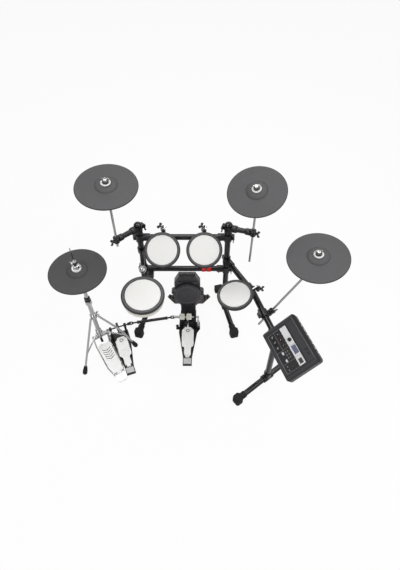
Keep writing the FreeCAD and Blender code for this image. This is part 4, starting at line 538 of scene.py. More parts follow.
@dataclass(frozen=True)
class FootPlate(Finish):
    """Cast footboard, polished on top and brushed along its length."""

    heading: Triple
    brush: float = 0.06

    def make(self) -> Material:
        """Builds the board.

        Returns:
            The material.
        """
        bench = self.bench()
        run = bench.along(ORIGIN, self.heading)
        side = bench.along(ORIGIN, (-self.heading[1], self.heading[0], 0.0))
        lines = bench.noise(1500.0, 3.0, bench.node("CombineXYZ", {0: run * self.brush, 1: side}))
        scuff = bench.noise(60.0, 6.0).step(0.55, 0.75)
        colour = self.tone(lines, 0.96, 1.03).painted(scuff * 0.2, self.shade(0.86))
        return bench.surface(colour, 0.32 + lines * 0.08 + scuff * 0.1, lines, depth=0.00004, specular=0.25)


@dataclass(frozen=True)
class HeelAndChrome(Finish):
    """Chromed rod frame whose heel plate is painted white."""

    heel: Triple
    heading: Triple
    paint: Colour = (0.84, 0.84, 0.835)
    reach: Pair = (0.0522, 0.0526)

    def make(self) -> Material:
        """Builds the chrome and the paint, parted along the frame.

        Returns:
            The material.
        """
        bench = self.bench()
        painted = 1.0 - bench.along(self.heel, self.heading).step(*self.reach)
        cloud = bench.noise(40.0, 5.0)
        paint = bench.mix(cloud, tuple(c * 0.95 for c in self.paint), self.paint)
        colour = self.tone(cloud, 0.9, 1.0).painted(painted, paint)
        return bench.surface(colour, 0.12 + painted * 0.22 + cloud * 0.06, bench.noise(800.0), depth=0.00003,
                             metal=1.0 - painted * 0.7)


@dataclass(frozen=True)
class BandedChrome(Finish):
    """Chrome upright with dark bushings at some heights."""

    bands: tuple[Pair, ...]
    dark: Colour = (0.015, 0.015, 0.016)
    soft: float = 0.0002

    def make(self) -> Material:
        """Builds the chrome and its dark bands.

        Returns:
            The material.
        """
        bench = self.bench()
        height = bench.axis(2)
        band = any_of([height.between(*ends, self.soft) for ends in self.bands])
        smear = bench.noise(45.0, 5.0)
        colour = self.tone(smear, 0.9, 1.0).painted(band, self.dark)
        rough = 0.11 + smear * 0.07 + band * 0.3
        return bench.surface(colour, rough, bench.noise(900.0), depth=0.00002, metal=1.0 - band)


@dataclass(frozen=True)
class ClutchRod(Finish):
    """Chromed pull rod with a white clutch cup on the pad and a dark strap at the pedal."""

    rod: Disc
    cup: Triple = (0.8915, 0.9004, 0.0002)
    strap: Pair = (0.1405, 0.1409)
    edge: float = 0.0004
    pitch: float = 0.0014
    white: Colour = (0.82, 0.82, 0.81)
    dark: Colour = (0.012, 0.012, 0.012)

    def make(self) -> Material:
        """Builds the three finishes, parted by height.

        Returns:
            The material.
        """
        bench = self.bench()
        height = bench.axis(2)
        wide = bench.radius(self.rod).step(self.rod.radius, self.rod.radius + self.edge)
        cup = height.between(*self.cup) * wide
        strap = 1.0 - height.step(*self.strap)
        smear = bench.noise(45.0, 5.0)
        colour = self.tone(smear, 0.9, 1.0).painted(cup, self.white).painted(strap, self.dark)
        weave = height.ripple(self.pitch) * strap
        return bench.surface(colour, 0.1 + smear * 0.07 + cup * 0.3 + strap * 0.5, weave, depth=0.0001,
                             metal=1.0 - cup.at_least(strap))


@dataclass(frozen=True)
class ModuleFinish(Finish):
    """A finish laid out on the module's panel, by its middle, its length and its climb."""

    centre: Triple
    across: Triple
    climb: Triple

    def spread(self, bench: Bench) -> tuple[Wire, Wire]:
        """Distances from the panel's middle along its length and up its climb, in metres."""
        return bench.along(self.centre, self.across), bench.along(self.centre, self.climb)


@dataclass(frozen=True)
class PanelFace(ModuleFinish):
    """Module panel: pale strip, dark square, and fine lines between groups of controls."""

    prints: tuple[Pair, ...]
    rings: tuple[Disc, ...]
    strip: Pair = (0.018, 0.0565)
    square: tuple[Pair, Pair] = ((0.0985, 0.0155), (0.0375, 0.0105))
    print_size: Pair = (0.0012, 0.0042)
    rules: Pair = (-0.005, 0.0695)
    column: float = -0.0235
    edge: Pair = (0.1215, -0.0645)
    seams: Pair = (-0.004, 0.0665)
    thin: float = 0.0006
    soft: float = 0.0003
    pale: Colour = (0.72, 0.72, 0.735)
    line_grey: Colour = (0.22, 0.22, 0.23)
    ring_red: Colour = (0.11, 0.035, 0.04)
    seam_dark: Colour = (0.06, 0.06, 0.06)
    square_dark: Colour = (0.01, 0.01, 0.011)

    def make(self) -> Material:
        """Builds the panel from bands across and along it.

        Returns:
            The material.
        """
        bench = self.bench()
        x, y = self.spread(bench)
        thin, soft = self.thin, self.soft
        end, foot = self.edge
        inside = abs(x).band(0.0, end, soft)
        pale = y.between(*self.strip, soft) * inside
        dark = x.band(*self.square[0], soft) * y.band(*self.square[1], soft)
        below = y.between(foot, self.strip[0], soft)
        lines = any_of((any_of([x.band(rule, thin, soft) for rule in self.rules]) * below,
                        y.band(self.column, thin, soft)
                        * (1.0 - x.step(self.rules[0], self.rules[0] + soft)) * inside,
                        y.band(foot, 2 * thin, soft) * inside,
                        abs(x).band(end, thin, soft) * below))
        seams = any_of([x.band(seam, thin, soft) for seam in self.seams]) * pale
        brush = bench.noise(420.0, 2.0, bench.stretched((0.2, 1.0, 1.0)))
        colour = self.tone(brush, 0.9, 1.1)
        for disc in self.rings:
            colour = colour.painted(bench.radius(disc).band(disc.radius, 2 * thin, soft) * 0.8, self.ring_red)
        colour = colour.painted(lines * 0.85, self.line_grey)
        wide, tall = self.print_size
        for spot in self.prints:
            colour = colour.painted(x.band(spot[0], wide, soft) * y.band(spot[1], tall, soft), self.pale)
        colour = colour.painted(pale, bench.mix(brush, tuple(c * 0.93 for c in self.pale), self.pale))
        colour = colour.painted(seams * 0.8, self.seam_dark).painted(dark, self.square_dark)
        return bench.surface(colour, 0.4 + brush * 0.1 - dark * 0.2, brush, depth=0.00003, specular=0.25)


@dataclass(frozen=True)
class CaseShell(ModuleFinish):
    """Module case: grey deck, a painted highlight along the crest before the back, painted shade over the
    back and in the end grooves, and two dark squares.
    """

    ridge_highlight: Triple = (0.1112, 0.0009, 0.0012)
    cheek: Triple = (0.132, 0.0013, 0.0006)
    fade: float = 0.012
    back: Pair = (0.0012, 0.003)
    squares: tuple[Pair, ...] = ((0.063, 0.0935), (0.0905, 0.0935))
    square_size: Pair = (0.0085, 0.0075)
    soft: float = 0.0006

    def make(self) -> Material:
        """Builds the case from bands across and along it.

        Returns:
            The material.
        """
        bench = self.bench()
        x, y = self.spread(bench)
        grain = bench.noise(1200.0, 3.0)
        # Painted shade over the back bevel, beyond the crest.
        back = y.step(*(self.ridge_highlight[0] + end for end in self.back))
        # Painted highlight along the crest, fading out before the cheeks.
        ridge_highlight = y.band(*self.ridge_highlight) * abs(x).band(0.0, self.cheek[0], self.fade)
        wide, tall = self.square_size
        # Painted shade in the two cheek grooves, off the back; the two squares are plain dark patches.
        dark = any_of([abs(x).band(*self.cheek) * (1.0 - back)] + [
            x.band(spot[0], wide, self.soft) * y.band(spot[1], tall, self.soft) for spot in self.squares])
        colour = self.tone(bench.noise(12.0, 3.0), 0.9, 1.12).painted(dark * 0.85, self.shade(0.2))
        colour = colour.painted(back, self.shade(0.25)).painted(ridge_highlight * 0.8, self.shade(6.0))
        return bench.surface(colour, 0.32 + grain * 0.1, grain, depth=0.0001, specular=0.28)


@dataclass(frozen=True)
class ScreenGlass(ModuleFinish):
    """Blue-grey display behind clear plastic, with plain blank rows of cells."""

    cell: Pair = (0.003, 0.006)
    field: tuple[Triple, Triple] = ((0.028, 0.022, 0.001), (0.04, 0.0095, 0.001))

    def make(self) -> Material:
        """Builds the display.

        Returns:
            The material.
        """
        bench = self.bench()
        x, y = self.spread(bench)
        cell = (x.ripple(self.cell[0]) * 0.5 + 0.5) * (y.ripple(self.cell[1]) * 0.5 + 0.5)
        field = x.band(*self.field[0]) * y.band(*self.field[1])
        colour = self.tone(cell * field * 0.5, 1.0, 0.62)
        glass = {"Emission Color": colour, "Emission Strength": 0.25, "Coat Weight": 0.4,
                 "Coat Roughness": 0.05}
        return bench.surface(colour, 0.12 + cell * 0.05, extra=glass)


@dataclass(frozen=True)
class Nylon(Finish):
    """Woven nylon strap."""

    pitch: float = 0.0011

    def make(self) -> Material:
        """Builds the weave.

        Returns:
            The material.
        """
        bench = self.bench()
        weave = bench.axis(0).ripple(self.pitch) * bench.axis(2).ripple(self.pitch)
        return bench.surface(self.tone(weave.step(-0.6, 0.6), 0.7, 1.0), 0.7, weave, depth=0.0002)


def place_at(origin: Sequence[float], x_axis: Sequence[float], z_axis: Sequence[float]) -> Matrix:
    """A place whose local z is z_axis and whose local x leans towards x_axis.

    Args:
        origin: Its origin.
        x_axis: Where local x points, roughly.
        z_axis: Where local z points.

    Returns:
        The 4 by 4 matrix.
    """
    z = Vector(z_axis).normalized()
    y = z.cross(Vector(x_axis)).normalized()
    turn = Matrix((y.cross(z), y, z)).transposed().to_4x4()
    return Matrix.Translation(Vector(origin)) @ turn


def on_board(heel: Sequence[float], ahead: Sequence[float], rise: float) -> Matrix:
    """The top of a footboard: local y runs to its toe and local z out of it, from above its hinge.

    Args:
        heel: The pedal's heel end on the floor.
        ahead: Level unit vector to its toe.
        rise: The board's slope in degrees.

    Returns:
        The place.
    """
    hinge_run, hinge_height, half_board = 0.062, 0.022, 0.0035
    slope = math.radians(rise)
    forward = Vector(ahead) * math.cos(slope) + Vector(Z_AXIS) * math.sin(slope)
    side = Vector((ahead[1], -ahead[0], 0.0))
    up = side.cross(forward)
    hinge = Vector(heel) + Vector(ahead) * hinge_run + Vector(Z_AXIS) * hinge_height
    return place_at(hinge + up * half_board, side, up)


def pipe(inner: float, outer: float, low: float, high: float) -> Outline:
    """Outline of a plain ring, by its two radii and its two heights."""
    return ((inner, low), (outer, low), (outer, high), (inner, high))


def oval(x: float, y: float, half_x: float, half_y: float, corner: float, steps: int = 4) -> list[Pair]:
    """Corners of a rectangle with rounded corners.

    Args:
        x: Centre along local x.
        y: Centre along local y.
        half_x: Half its length.
        half_y: Half its width.
        corner: Corner radius.
        steps: Facets of each corner.

    Returns:
        The corners, anticlockwise.
    """
    points = []
    for sx, sy, start in ((1, -1, -90), (1, 1, 0), (-1, 1, 90), (-1, -1, 180)):
        for i in range(steps + 1):
            angle = math.radians(start + 90 * i / steps)
            points.append((x + sx * (half_x - corner) + corner * math.cos(angle),
                           y + sy * (half_y - corner) + corner * math.sin(angle)))
    return points


def softened(corners: Sequence[Pair], radius: float, steps: int = 5) -> list[Pair]:
    """Rounds the corners of a closed outline.

    Args:
        corners: The outline's corners.
        radius: How far from a corner its rounding starts.
        steps: Points of each rounding, less one.

    Returns:
        The rounded outline.
    """
    most_of_side = 0.48
    points = []
    for i, corner in enumerate(corners):
        here = Vector(corner)
        ends = []
        for near in (Vector(corners[i - 1]), Vector(corners[(i + 1) % len(corners)])):
            reach = min(radius, (near - here).length * most_of_side)
            ends.append(here + (near - here).normalized() * reach)
        for j in range(steps + 1):
            t = j / steps
            points.append(tuple(ends[0] * (1 - t) ** 2 + here * (2 * t * (1 - t)) + ends[1] * t ** 2))
    return points


class Form:
    edge_steps = 2
    edge_angle = math.radians(40)

    def __init__(self, name: str) -> None:
        """Starts the empty mesh of a named piece."""
        self.name = name
        self.mesh = bmesh.new()

    def ring(self, points: Iterable[Vector]) -> list[bmesh.types.BMVert]:
        """Adds a row of points."""
        return [self.mesh.verts.new(point) for point in points]

    def turned(self, profile: Sequence[Pair], place: Matrix, steps: int) -> "Form":
        """Turns a closed outline of radius and height about local z.

        Args:
            profile: The outline's corners, none on the axis.
            place: Where the axis stands.
            steps: Facets round the axis.

        Returns:
            This form.
        """
        rows = []
        for i in range(steps):
            angle = 2 * math.pi * i / steps
            cos, sin = math.cos(angle), math.sin(angle)
            rows.append(self.ring(place @ Vector((r * cos, r * sin, z)) for r, z in profile))
        for row, ahead in zip(rows, rows[1:] + rows[:1]):
            for j in range(len(profile)):
                k = (j + 1) % len(profile)
                self.mesh.faces.new((row[j], ahead[j], ahead[k], row[k]))
        return self

    def prism(self, outline: Sequence[Pair], low: float, high: float, place: Matrix) -> "Form":
        """Raises a flat outline into a slab.

        Args:
            outline: Corners in local x and y, anticlockwise.
            low: Local height of its underside.
            high: Local height of its top.
            place: Where it lies.

        Returns:
            This form.
        """
        under, over = (self.ring(place @ Vector((x, y, z)) for x, y in outline) for z in (low, high))
        self.mesh.faces.new(list(reversed(under)))
        self.mesh.faces.new(over)
        for i in range(len(outline)):
            j = (i + 1) % len(outline)
            self.mesh.faces.new((under[i], under[j], over[j], over[i]))
        return self

    def screw(self, spot: Sequence[float], out: Sequence[float], radius: float) -> "Form":
        """Adds a socket screw's head.

        Args:
            spot: Point on the surface.
            out: Direction away from the surface.
            radius: Radius of the head.

        Returns:
            This form.
        """
        foot, shoulder, top = -0.0006, 0.0024, 0.003
        hole, crown = radius * 0.45, radius * 0.8
        profile = ((hole, foot), (radius, foot), (radius, shoulder), (crown, top), (hole, top))
        return self.turned(profile, place_at(spot, Z_AXIS, out), steps=18)

    def fuzz(self, depth: float, scale: float) -> "Form":
        """Divides the faces once and roughens them, as pressed wool is.

        Args:
            depth: Most that a point moves, in metres.
            scale: Tufts per metre.

        Returns:
            This form.
        """
        bmesh.ops.recalc_face_normals(self.mesh, faces=self.mesh.faces)
        bmesh.ops.subdivide_edges(self.mesh, edges=self.mesh.edges, cuts=1, use_grid_fill=True)
        self.mesh.normal_update()
        moves = [v.normal * (depth * noise.noise(v.co * scale)) for v in self.mesh.verts]
        for vertex, move in zip(self.mesh.verts, moves):
            vertex.co += move
        return self

    def done(self, material: Material, body: Body, slot: Slot,
             round_by: float = 0.0006) -> bpy.types.Object:
        """Makes the piece, dresses it and lets it ride.

        Args:
            material: Its finish.
            body: The body it rides on.
            slot: The record's slot its finish comes from; not used.
            round_by: Width of the rounding of its edges, in metres.

        Returns:
            The piece.
        """
        bmesh.ops.recalc_face_normals(self.mesh, faces=self.mesh.faces)
        data = bpy.data.meshes.new(self.name)
        self.mesh.to_mesh(data)
        self.mesh.free()
        data.materials.append(material)
        data.shade_smooth()
        piece = bpy.data.objects.new(self.name, data)
        bpy.context.scene.collection.objects.link(piece)
        bevel = piece.modifiers.new("edges", "BEVEL")
        bevel.width = round_by
        bevel.segments = self.edge_steps
        bevel.limit_method = "ANGLE"
        bevel.angle_limit = self.edge_angle
        bevel.harden_normals = True
        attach(piece, body.value)
        log.info("piece %s rides %s", self.name, body.value)
        return piece


@dataclass(frozen=True)
class Lamp:
    """A soft lamp: its place, its two sides in metres, its watts, and whether only polish shows it."""

    name: str
    spot: Triple
    size: Pair
    power: float
    sheen_only: bool = False


@dataclass
class Studio:
    """Camera at the photo's place, soft light, white surroundings and a floor."""

    eye: Triple = (0.130, -1.900, 2.885)
    tip: float = 37.0
    lens: float = 28.93
    sensor: float = 36.0
    shift: float = -0.0079
    far: float = 60.0
    aim: Triple = (0.05, -0.2, 0.6)
    lamps: tuple[Lamp, ...] = (
        Lamp("key", (-1.6, -2.2, 3.6), (1.6, 0.8), 52.0),
        Lamp("fill", (2.4, -1.4, 2.8), (1.8, 0.6), 38.0),
        Lamp("back", (0.3, 2.6, 3.0), (3.0, 0.5), 36.0),
        Lamp("card", (0.1, 0.25, 3.5), (3.4, 1.5), 135.0, True))
    floor_half: float = 12.0
    floor_drop: float = 0.001
    floor_greys: Pair = (0.86, 0.9)
    floor_glow: float = 0.92
    ambient: float = 0.46

    def put(self, data: bpy.types.ID, spot: Triple, turn: Sequence[float] = ORIGIN) -> bpy.types.Object:
        """Puts an object in the scene, named as its data is.

        Args:
            data: What the object shows.
            spot: Its place.
            turn: Its Euler angles.

        Returns:
            The object.
        """
        item = bpy.data.objects.new(data.name, data)
        item.location = spot
        item.rotation_euler = turn
        bpy.context.scene.collection.objects.link(item)
        return item

    def camera(self) -> None:
        """Places the camera."""
        data = bpy.data.cameras.new("camera")
        data.lens, data.sensor_width = self.lens, self.sensor
        data.shift_x, data.clip_end = self.shift, self.far
        bpy.context.scene.camera = self.put(data, self.eye, (math.radians(self.tip), 0.0, 0.0))

    def light(self, lamp: Lamp) -> None:
        """Args:
            lamp: The lamp.
        """
        data = bpy.data.lights.new(lamp.name, "AREA")
        data.shape = "RECTANGLE"
        data.size, data.size_y = lamp.size
        data.energy = lamp.power
        turn = (Vector(self.aim) - Vector(lamp.spot)).to_track_quat("-Z", "Y").to_euler()
        self.put(data, lamp.spot, turn).visible_diffuse = not lamp.sheen_only

    def floor(self) -> None:
        """Lays the pale floor, which keeps a soft shadow."""
        bench = Bench(bpy.data.materials.new("studio_floor"))
        paint = bench.mix(bench.noise(2.0), *((grey, grey, grey) for grey in self.floor_greys))
        seen = bench.rays("Is Camera Ray", "Is Glossy Ray", "Is Transmission Ray")
        shown = bench.node("MixShader", {0: seen * self.floor_glow, 1: bench.node("BsdfDiffuse", {0: paint}),
                                         2: bench.node("Emission", {0: WHITE, 1: 1.0})})
        bench.node("OutputMaterial", {0: shown})
        half = self.floor_half
        data = bpy.data.meshes.new("studio_floor")
        data.from_pydata([(-half, -half, 0), (half, -half, 0), (half, half, 0), (-half, half, 0)], [],
                         [(0, 1, 2, 3)])
        data.materials.append(bench.owner)
        floor = self.put(data, (0.0, 0.0, -self.floor_drop))

    def surround(self) -> None:
        world = bpy.data.worlds.new("surround")
        bpy.context.scene.world = world
        bench = Bench(world)
        level = self.ambient + bench.rays("Is Camera Ray", "Is Glossy Ray") * (1.0 - self.ambient)
        bench.node("OutputWorld", {0: bench.node("Background", {"Color": WHITE, "Strength": level})})

    def build(self) -> None:
        """Sets up the whole studio."""
        bpy.context.scene.view_settings.view_transform = "Standard"
        self.camera()
        self.floor()
        self.surround()
        for lamp in self.lamps:
            self.light(lamp)


@dataclass
class Assembly:
    nodes: dict[str, bpy.types.Object]

    def dress(self, finish: Finish, *names: str) -> Material:
        """Gives solids a finish.

        Args:
            finish: The finish.
            names: The solids that take it.

        Returns:
            Its material, for trim that matches.
        """
        material = finish.make()
        for name in names:
            data = self.nodes[name].data
            data.materials.clear()
            data.materials.append(material)
            log.info("solid %s wears %s", name, material.name)
        return material


@dataclass
class Rack(Assembly):
    """Tubes, castings and boots, with red ties on the lower bar and screws in the castings."""

    tube: float = 0.019
    bar: Pair = (0.070, 0.458)
    ties: tuple[Pair, ...] = ((0.125, 0.025), (0.159, 0.028))
    strap: Pair = (0.0002, 0.0018)
    tongue: Pair = (0.0015, 0.0042)
    tongue_edge: Pair = (0.009, 0.002)
    tongue_shift: float = 0.001
    feet: tuple[Triple, ...] = ((-0.277, 0.07, 0.033), (0.277, 0.07, 0.033), (0.552, -0.527, 0.033))
    foot_screws: Pair = (0.04, 0.054)
    tees: tuple[Pair, ...] = ((-0.227, 0.771), (-0.227, 0.458), (0.227, 0.771), (0.227, 0.458))
    tee_screws: Pair = (-0.012, 0.012)
    socket: float = 0.0243
    screw: float = 0.0038
    arms: tuple[tuple[Triple, Triple], ...] = (((-0.277, 0.07, 0.852), (-0.392, -0.053, 0.88)),
                                               ((0.277, 0.07, 0.852), (0.421, 0.003, 0.88)))
    arm_gap: float = 0.016
    arm_screw: Triple = (0.039, 0.0234, 0.0055)
    root_collar: Outline = ((0.015, 0.028), (0.0235, 0.028), (0.0235, 0.05), (0.0205, 0.06), (0.015, 0.06))
    tip_collar: Outline = ((0.013, -0.036), (0.0175, -0.036), (0.0212, -0.026), (0.0212, 0.0), (0.013, 0.0))
    block: Triple = (-0.226, -0.101, 0.620)
    block_size: Triple = (0.036, 0.026, 0.010)
    block_heights: Pair = (-0.020, 0.020)
    neck_at: Pair = (-0.026, 0.0)
    neck_size: Triple = (0.010, 0.020, 0.006)
    neck_heights: Pair = (0.018, 0.031)
    block_boss: Triple = (0.012, 0.0, 0.019)
    boss: tuple[float, ...] = (0.004, 0.013, 0.0, 0.004)

    def arm_collars(self, cast: Material) -> None:
        """Thickens each cymbal arm beside its sleeve and its grip, with a screw in the first collar.

        Args:
            cast: The castings' finish.
        """
        collars = Form("arm_collars")
        height, surface, radius = self.arm_screw
        for root, tip in self.arms:
            reach = Vector(tip) - Vector(root)
            place = place_at(root, Z_AXIS, reach)
            end = reach.length - self.arm_gap
            for profile in (self.root_collar, [(r, end + z) for r, z in self.tip_collar]):
                collars.turned(softened(profile, radius=0.003, steps=3), place, steps=36)
            out = reach.cross(Vector(Z_AXIS)).normalized()
            out = -out if out.y > 0 else out
            collars.screw(place @ Vector((0, 0, height)) + out * surface, out, radius)
        collars.done(cast, Body.RACK, Slot.CASTING, round_by=0.0008)

    def clamp_block(self, cast: Material) -> None:
        """Hangs the hinged half of the snare's clamp under its arm, below the tom's reach.

        Args:
            cast: The castings' finish.
        """
        block = Form("snare_clamp_block")
        place = Matrix.Translation(self.block)
        block.prism(oval(0, 0, *self.block_size), *self.block_heights, place)
        block.prism(oval(*self.neck_at, *self.neck_size), *self.neck_heights, place)
        block.turned(pipe(*self.boss), place @ Matrix.Translation(self.block_boss), steps=28)
        block.done(cast, Body.RACK, Slot.CASTING, round_by=0.003)

    def tie_straps(self) -> None:
        """Wraps the red ties round the lower bar, each with its tongue below."""
        red = Nylon("tie_red", (0.75, 0.012, 0.015)).make()
        y, z = self.bar
        gap, thick = self.strap
        inner = self.tube + gap
        for i, (x, width) in enumerate(self.ties, 1):
            strap = Form("rack_tie_%d" % i)
            profile = pipe(inner, inner + thick, -width / 2, width / 2)
            strap.turned(profile, place_at((x, y, z), Z_AXIS, X_AXIS), steps=40)
            below = place_at((x, y - self.tongue_shift, z - inner), X_AXIS, (0, 0, -1))
            strap.prism(oval(0, 0, width / 2, *self.tongue_edge), *self.tongue, below)
            strap.done(red, Body.RACK, Slot.TUBE)

    def clamp_screws(self) -> None:
        """Puts socket screws in the tee castings and the floor tees."""
        screws = Form("clamp_screws")
        spots = [(x, self.bar[0], z + rise) for x, z in self.tees for rise in self.tee_screws]
        spots += [(x, y, z + rise) for x, y, z in self.feet for rise in self.foot_screws]
        for x, y, z in spots:
            screws.screw((x, y - self.socket, z), (0, -1, 0), self.screw)
        black = Plate("screw_black", (0.05, 0.05, 0.052), 0.3).make()
        screws.done(black, Body.RACK, Slot.BOLT, round_by=0.0003)

    def build(self) -> None:
        """Dresses the rack and adds its trim."""
        self.dress(PowderCoat("rack_black", (0.007, 0.0068, 0.007), 0.1),
                   "rack_posts", "crossbars", "wing_arm", "floor_legs")
        cast = self.dress(PowderCoat("casting_black", (0.007, 0.007, 0.008), 0.28, 380.0),
                          "rack_clamps", "cymbal_arms", "pad_clamps", "module_mount")
        self.arm_collars(cast)
        self.clamp_block(cast)
        self.dress(Rubber("boot_rubber", (0.011, 0.011, 0.011)), "rubber_feet")
        self.dress(MixedBolts("wing_bolts", (0.013, 0.013, 0.014)), "wing_bolts")
        self.tie_straps()
        self.clamp_screws()


@dataclass
class Cymbals(Assembly):
    """Three cymbal pads on chromed booms, and the hi-hat pad."""

    pads: tuple[tuple[str, Disc], ...] = (
        ("left_crash", Disc((-0.374, -0.083, 1.313), (0.041, -0.068, 0.997), 0.165)),
        ("right_crash", Disc((0.414, -0.008, 1.213), (-0.168, -0.246, 0.955), 0.165)),
        ("ride_cymbal", Disc((0.722, -0.353, 1.069), (-0.114, -0.052, 0.992), 0.165)))
    hihat_pad: Disc = Disc((-0.586, -0.284, 0.870), Z_AXIS, 0.165)
    grey: Colour = (0.086, 0.086, 0.089)
    hihat_grey: Colour = (0.066, 0.066, 0.068)
    bore: float = 0.0056
    lower: Triple = (0.020, 0.0046, 0.0146)
    upper: Triple = (0.027, 0.0234, 0.0299)
    collar: Pair = (0.017, 0.0424)
    slope: float = 0.158
    sunk: float = 0.0012
    waist: float = 0.0035
    nut_insets: Triple = (0.003, 0.001, 0.005)
    nut_bevels: Pair = (0.0015, 0.003)
    skirt: Outline = ((0.0058, -0.0006), (0.0125, -0.0006), (0.0125, 0.0026), (0.0098, 0.0106),
                      (0.0058, 0.0121))

    def felts(self) -> None:
        """Stacks a felt under each pad, and a white ring, a dark collar and a nut with its skirt over it."""
        bore, slope = self.bore, self.slope
        radius, low, high = self.lower
        under = ((bore, low), (radius, low), (radius, high - (radius - bore) * slope), (bore, high))
        wide, base, top = self.upper
        neck, crown = self.collar
        foot_in, side_in, top_in = self.nut_insets
        low_bevel, high_bevel = self.nut_bevels
        inner = neck - side_in
        rise = base + (wide - bore) * slope
        over = ((inner, rise - self.sunk), (wide, rise), (wide, top), (inner, top))
        waist = top + self.waist
        hub = ((bore, base), (neck, rise - self.sunk), (neck, waist), (bore, waist))
        nut = ((bore, waist), (neck - foot_in, waist), (inner, waist + low_bevel),
               (inner, crown - high_bevel), (neck - top_in, crown), (bore, crown))
        skirt = [(r, crown + z) for r, z in self.skirt]
        white, dark, flanges, skirts = (Form("cymbal_" + name) for name in (
            "felt_rings", "felt_collars", "nut_flanges", "nut_skirts"))
        for _, disc in self.pads:
            place = disc.place()
            white.turned(softened(under, radius=0.0022), place, steps=44)
            white.turned(softened(over, radius=0.0018), place, steps=44)
            dark.turned(softened(hub, radius=0.002), place, steps=44)
            flanges.turned(softened(nut, radius=0.0012, steps=3), place, steps=12)
            skirts.turned(softened(skirt, radius=0.001, steps=3), place, steps=28)
        plated = Plate("nut_plate", (0.36, 0.355, 0.34), 0.2).make()
        skirts.done(plated, Body.RACK, Slot.CHROME, round_by=0.0003)
        wool = Felt("white_felt", (0.8, 0.8, 0.79)).make()
        felt = white.fuzz(0.00035, 420.0).done(wool, Body.RACK, Slot.PALE_FELT, round_by=0.0001)
        wool = Felt("dark_felt", (0.022, 0.022, 0.023)).make()
        collar = dark.fuzz(0.0002, 600.0).done(wool, Body.RACK, Slot.PALE_FELT, round_by=0.0001)
        black = Moulded("nut_black", (0.012, 0.012, 0.013), 0.4).make()
        flange = flanges.done(black, Body.RACK, Slot.KNOB, round_by=0.0003)
        for piece in (felt, collar, flange):
            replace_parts(piece, "cymbal_felts")

    def build(self) -> None:
        """Dresses the pads and booms and adds the felts."""
        for node, disc in self.pads:
            self.dress(CymbalRubber(node + "_rubber", self.grey, disc.unit()), node)
        self.dress(CymbalRubber("hihat_pad_rubber", self.hihat_grey, self.hihat_pad), "hihat_pad")
        self.dress(Plate("boom_chrome", (0.36, 0.36, 0.36), 0.12), "cymbal_booms")
        self.felts()


@dataclass
class DrumPads(Assembly):
    """Three toms and the snare, each by its head, its rim, its rim's radius and its head's disc."""

    pads: tuple[tuple[str, str, float, Disc], ...] = (
        ("left_tom_head", "left_tom_shell", 0.111,
         Disc((-0.129, -0.046, 0.780), (0.0, -0.555, 0.832), 0.0925)),
        ("right_tom_head", "right_tom_shell", 0.111,
         Disc((0.129, -0.046, 0.780), (0.0, -0.555, 0.832), 0.0925)),
        ("floor_tom_head", "floor_tom_shell", 0.111,
         Disc((0.315, -0.275, 0.637), (-0.135, -0.006, 0.991), 0.0925)),
        ("snare_head", "snare_rim", 0.130, Disc((-0.236, -0.312, 0.684), (0.041, -0.093, 0.995), 0.107)))
    white: Colour = (0.81, 0.805, 0.785)
    grey: Colour = (0.05, 0.05, 0.053)
    keys: tuple[Triple, ...] = ((-0.129, 0.110, 0.806), (0.129, 0.110, 0.806))
    key_way: Triple = (-0.62, 0.0, 0.78)
    key_face: Triple = (0.478, -0.792, 0.380)
    key_stem: tuple[float, ...] = (0.001, 0.0042, 0.004, 0.026)
    key_wing: Pair = (0.0115, 0.0345)
    key_wing_size: Triple = (0.0085, 0.0095, 0.006)
    key_half: float = 0.0018
    key_cone: Outline = ((0.001, 0.021), (0.0075, 0.021), (0.0062, 0.035), (0.001, 0.035))
    band: Outline = ((0.1212, -0.0258), (0.1266, -0.0258), (0.1262, -0.0385), (0.1252, -0.0395),
                     (0.1252, -0.0412), (0.1258, -0.0422), (0.1248, -0.0560), (0.1205, -0.0612),
                     (0.1175, -0.0600))

    def key_bolts(self) -> None:
        """Sets a wing key in the lock collar above each tom's clamp."""
        keys = Form("tom_key_bolts")
        way, face = (Vector(line).normalized() for line in (self.key_way, self.key_face))
        for root in self.keys:
            place = place_at(root, Y_AXIS, way)
            keys.turned(pipe(*self.key_stem), place, steps=20)
            keys.turned(self.key_cone, place, steps=24)
            plate = place_at(root, way.cross(face), face)
            across, up = self.key_wing
            for side in (-1, 1):
                wing = oval(side * across, up, *self.key_wing_size)
                keys.prism(wing, -self.key_half, self.key_half, plate)
        keys.done(Plate("key_dark", (0.12, 0.12, 0.125), 0.2).make(), Body.RACK, Slot.BOLT, round_by=0.0008)

    def build(self) -> None:
        """Dresses the shells, rims, heads and rods, and bands the snare's shell, with its parting groove."""
        self.key_bolts()
        for head, rim, edge, disc in self.pads:
            disc = disc.unit()
            self.dress(DrumHead(head + "_silicone", self.white, disc), head)
            outer = Disc(disc.centre, disc.normal, edge)
            self.dress(PadRim(rim + "_rubber", self.grey, outer, disc.radius), rim)
        cream = self.dress(Moulded("snare_cream", (0.66, 0.64, 0.585), 0.25, 300.0), "snare_shell")
        snare = self.pads[-1][-1]
        band = Form("snare_shell_band")
        band.turned(softened(self.band, radius=0.0012, steps=3), snare.place(), steps=96)
        band.done(cream, Body.SNARE, Slot.SNARE, round_by=0.0003)
        self.dress(Plate("pad_rod_chrome", (0.36, 0.36, 0.37), 0.1), "pad_rods")


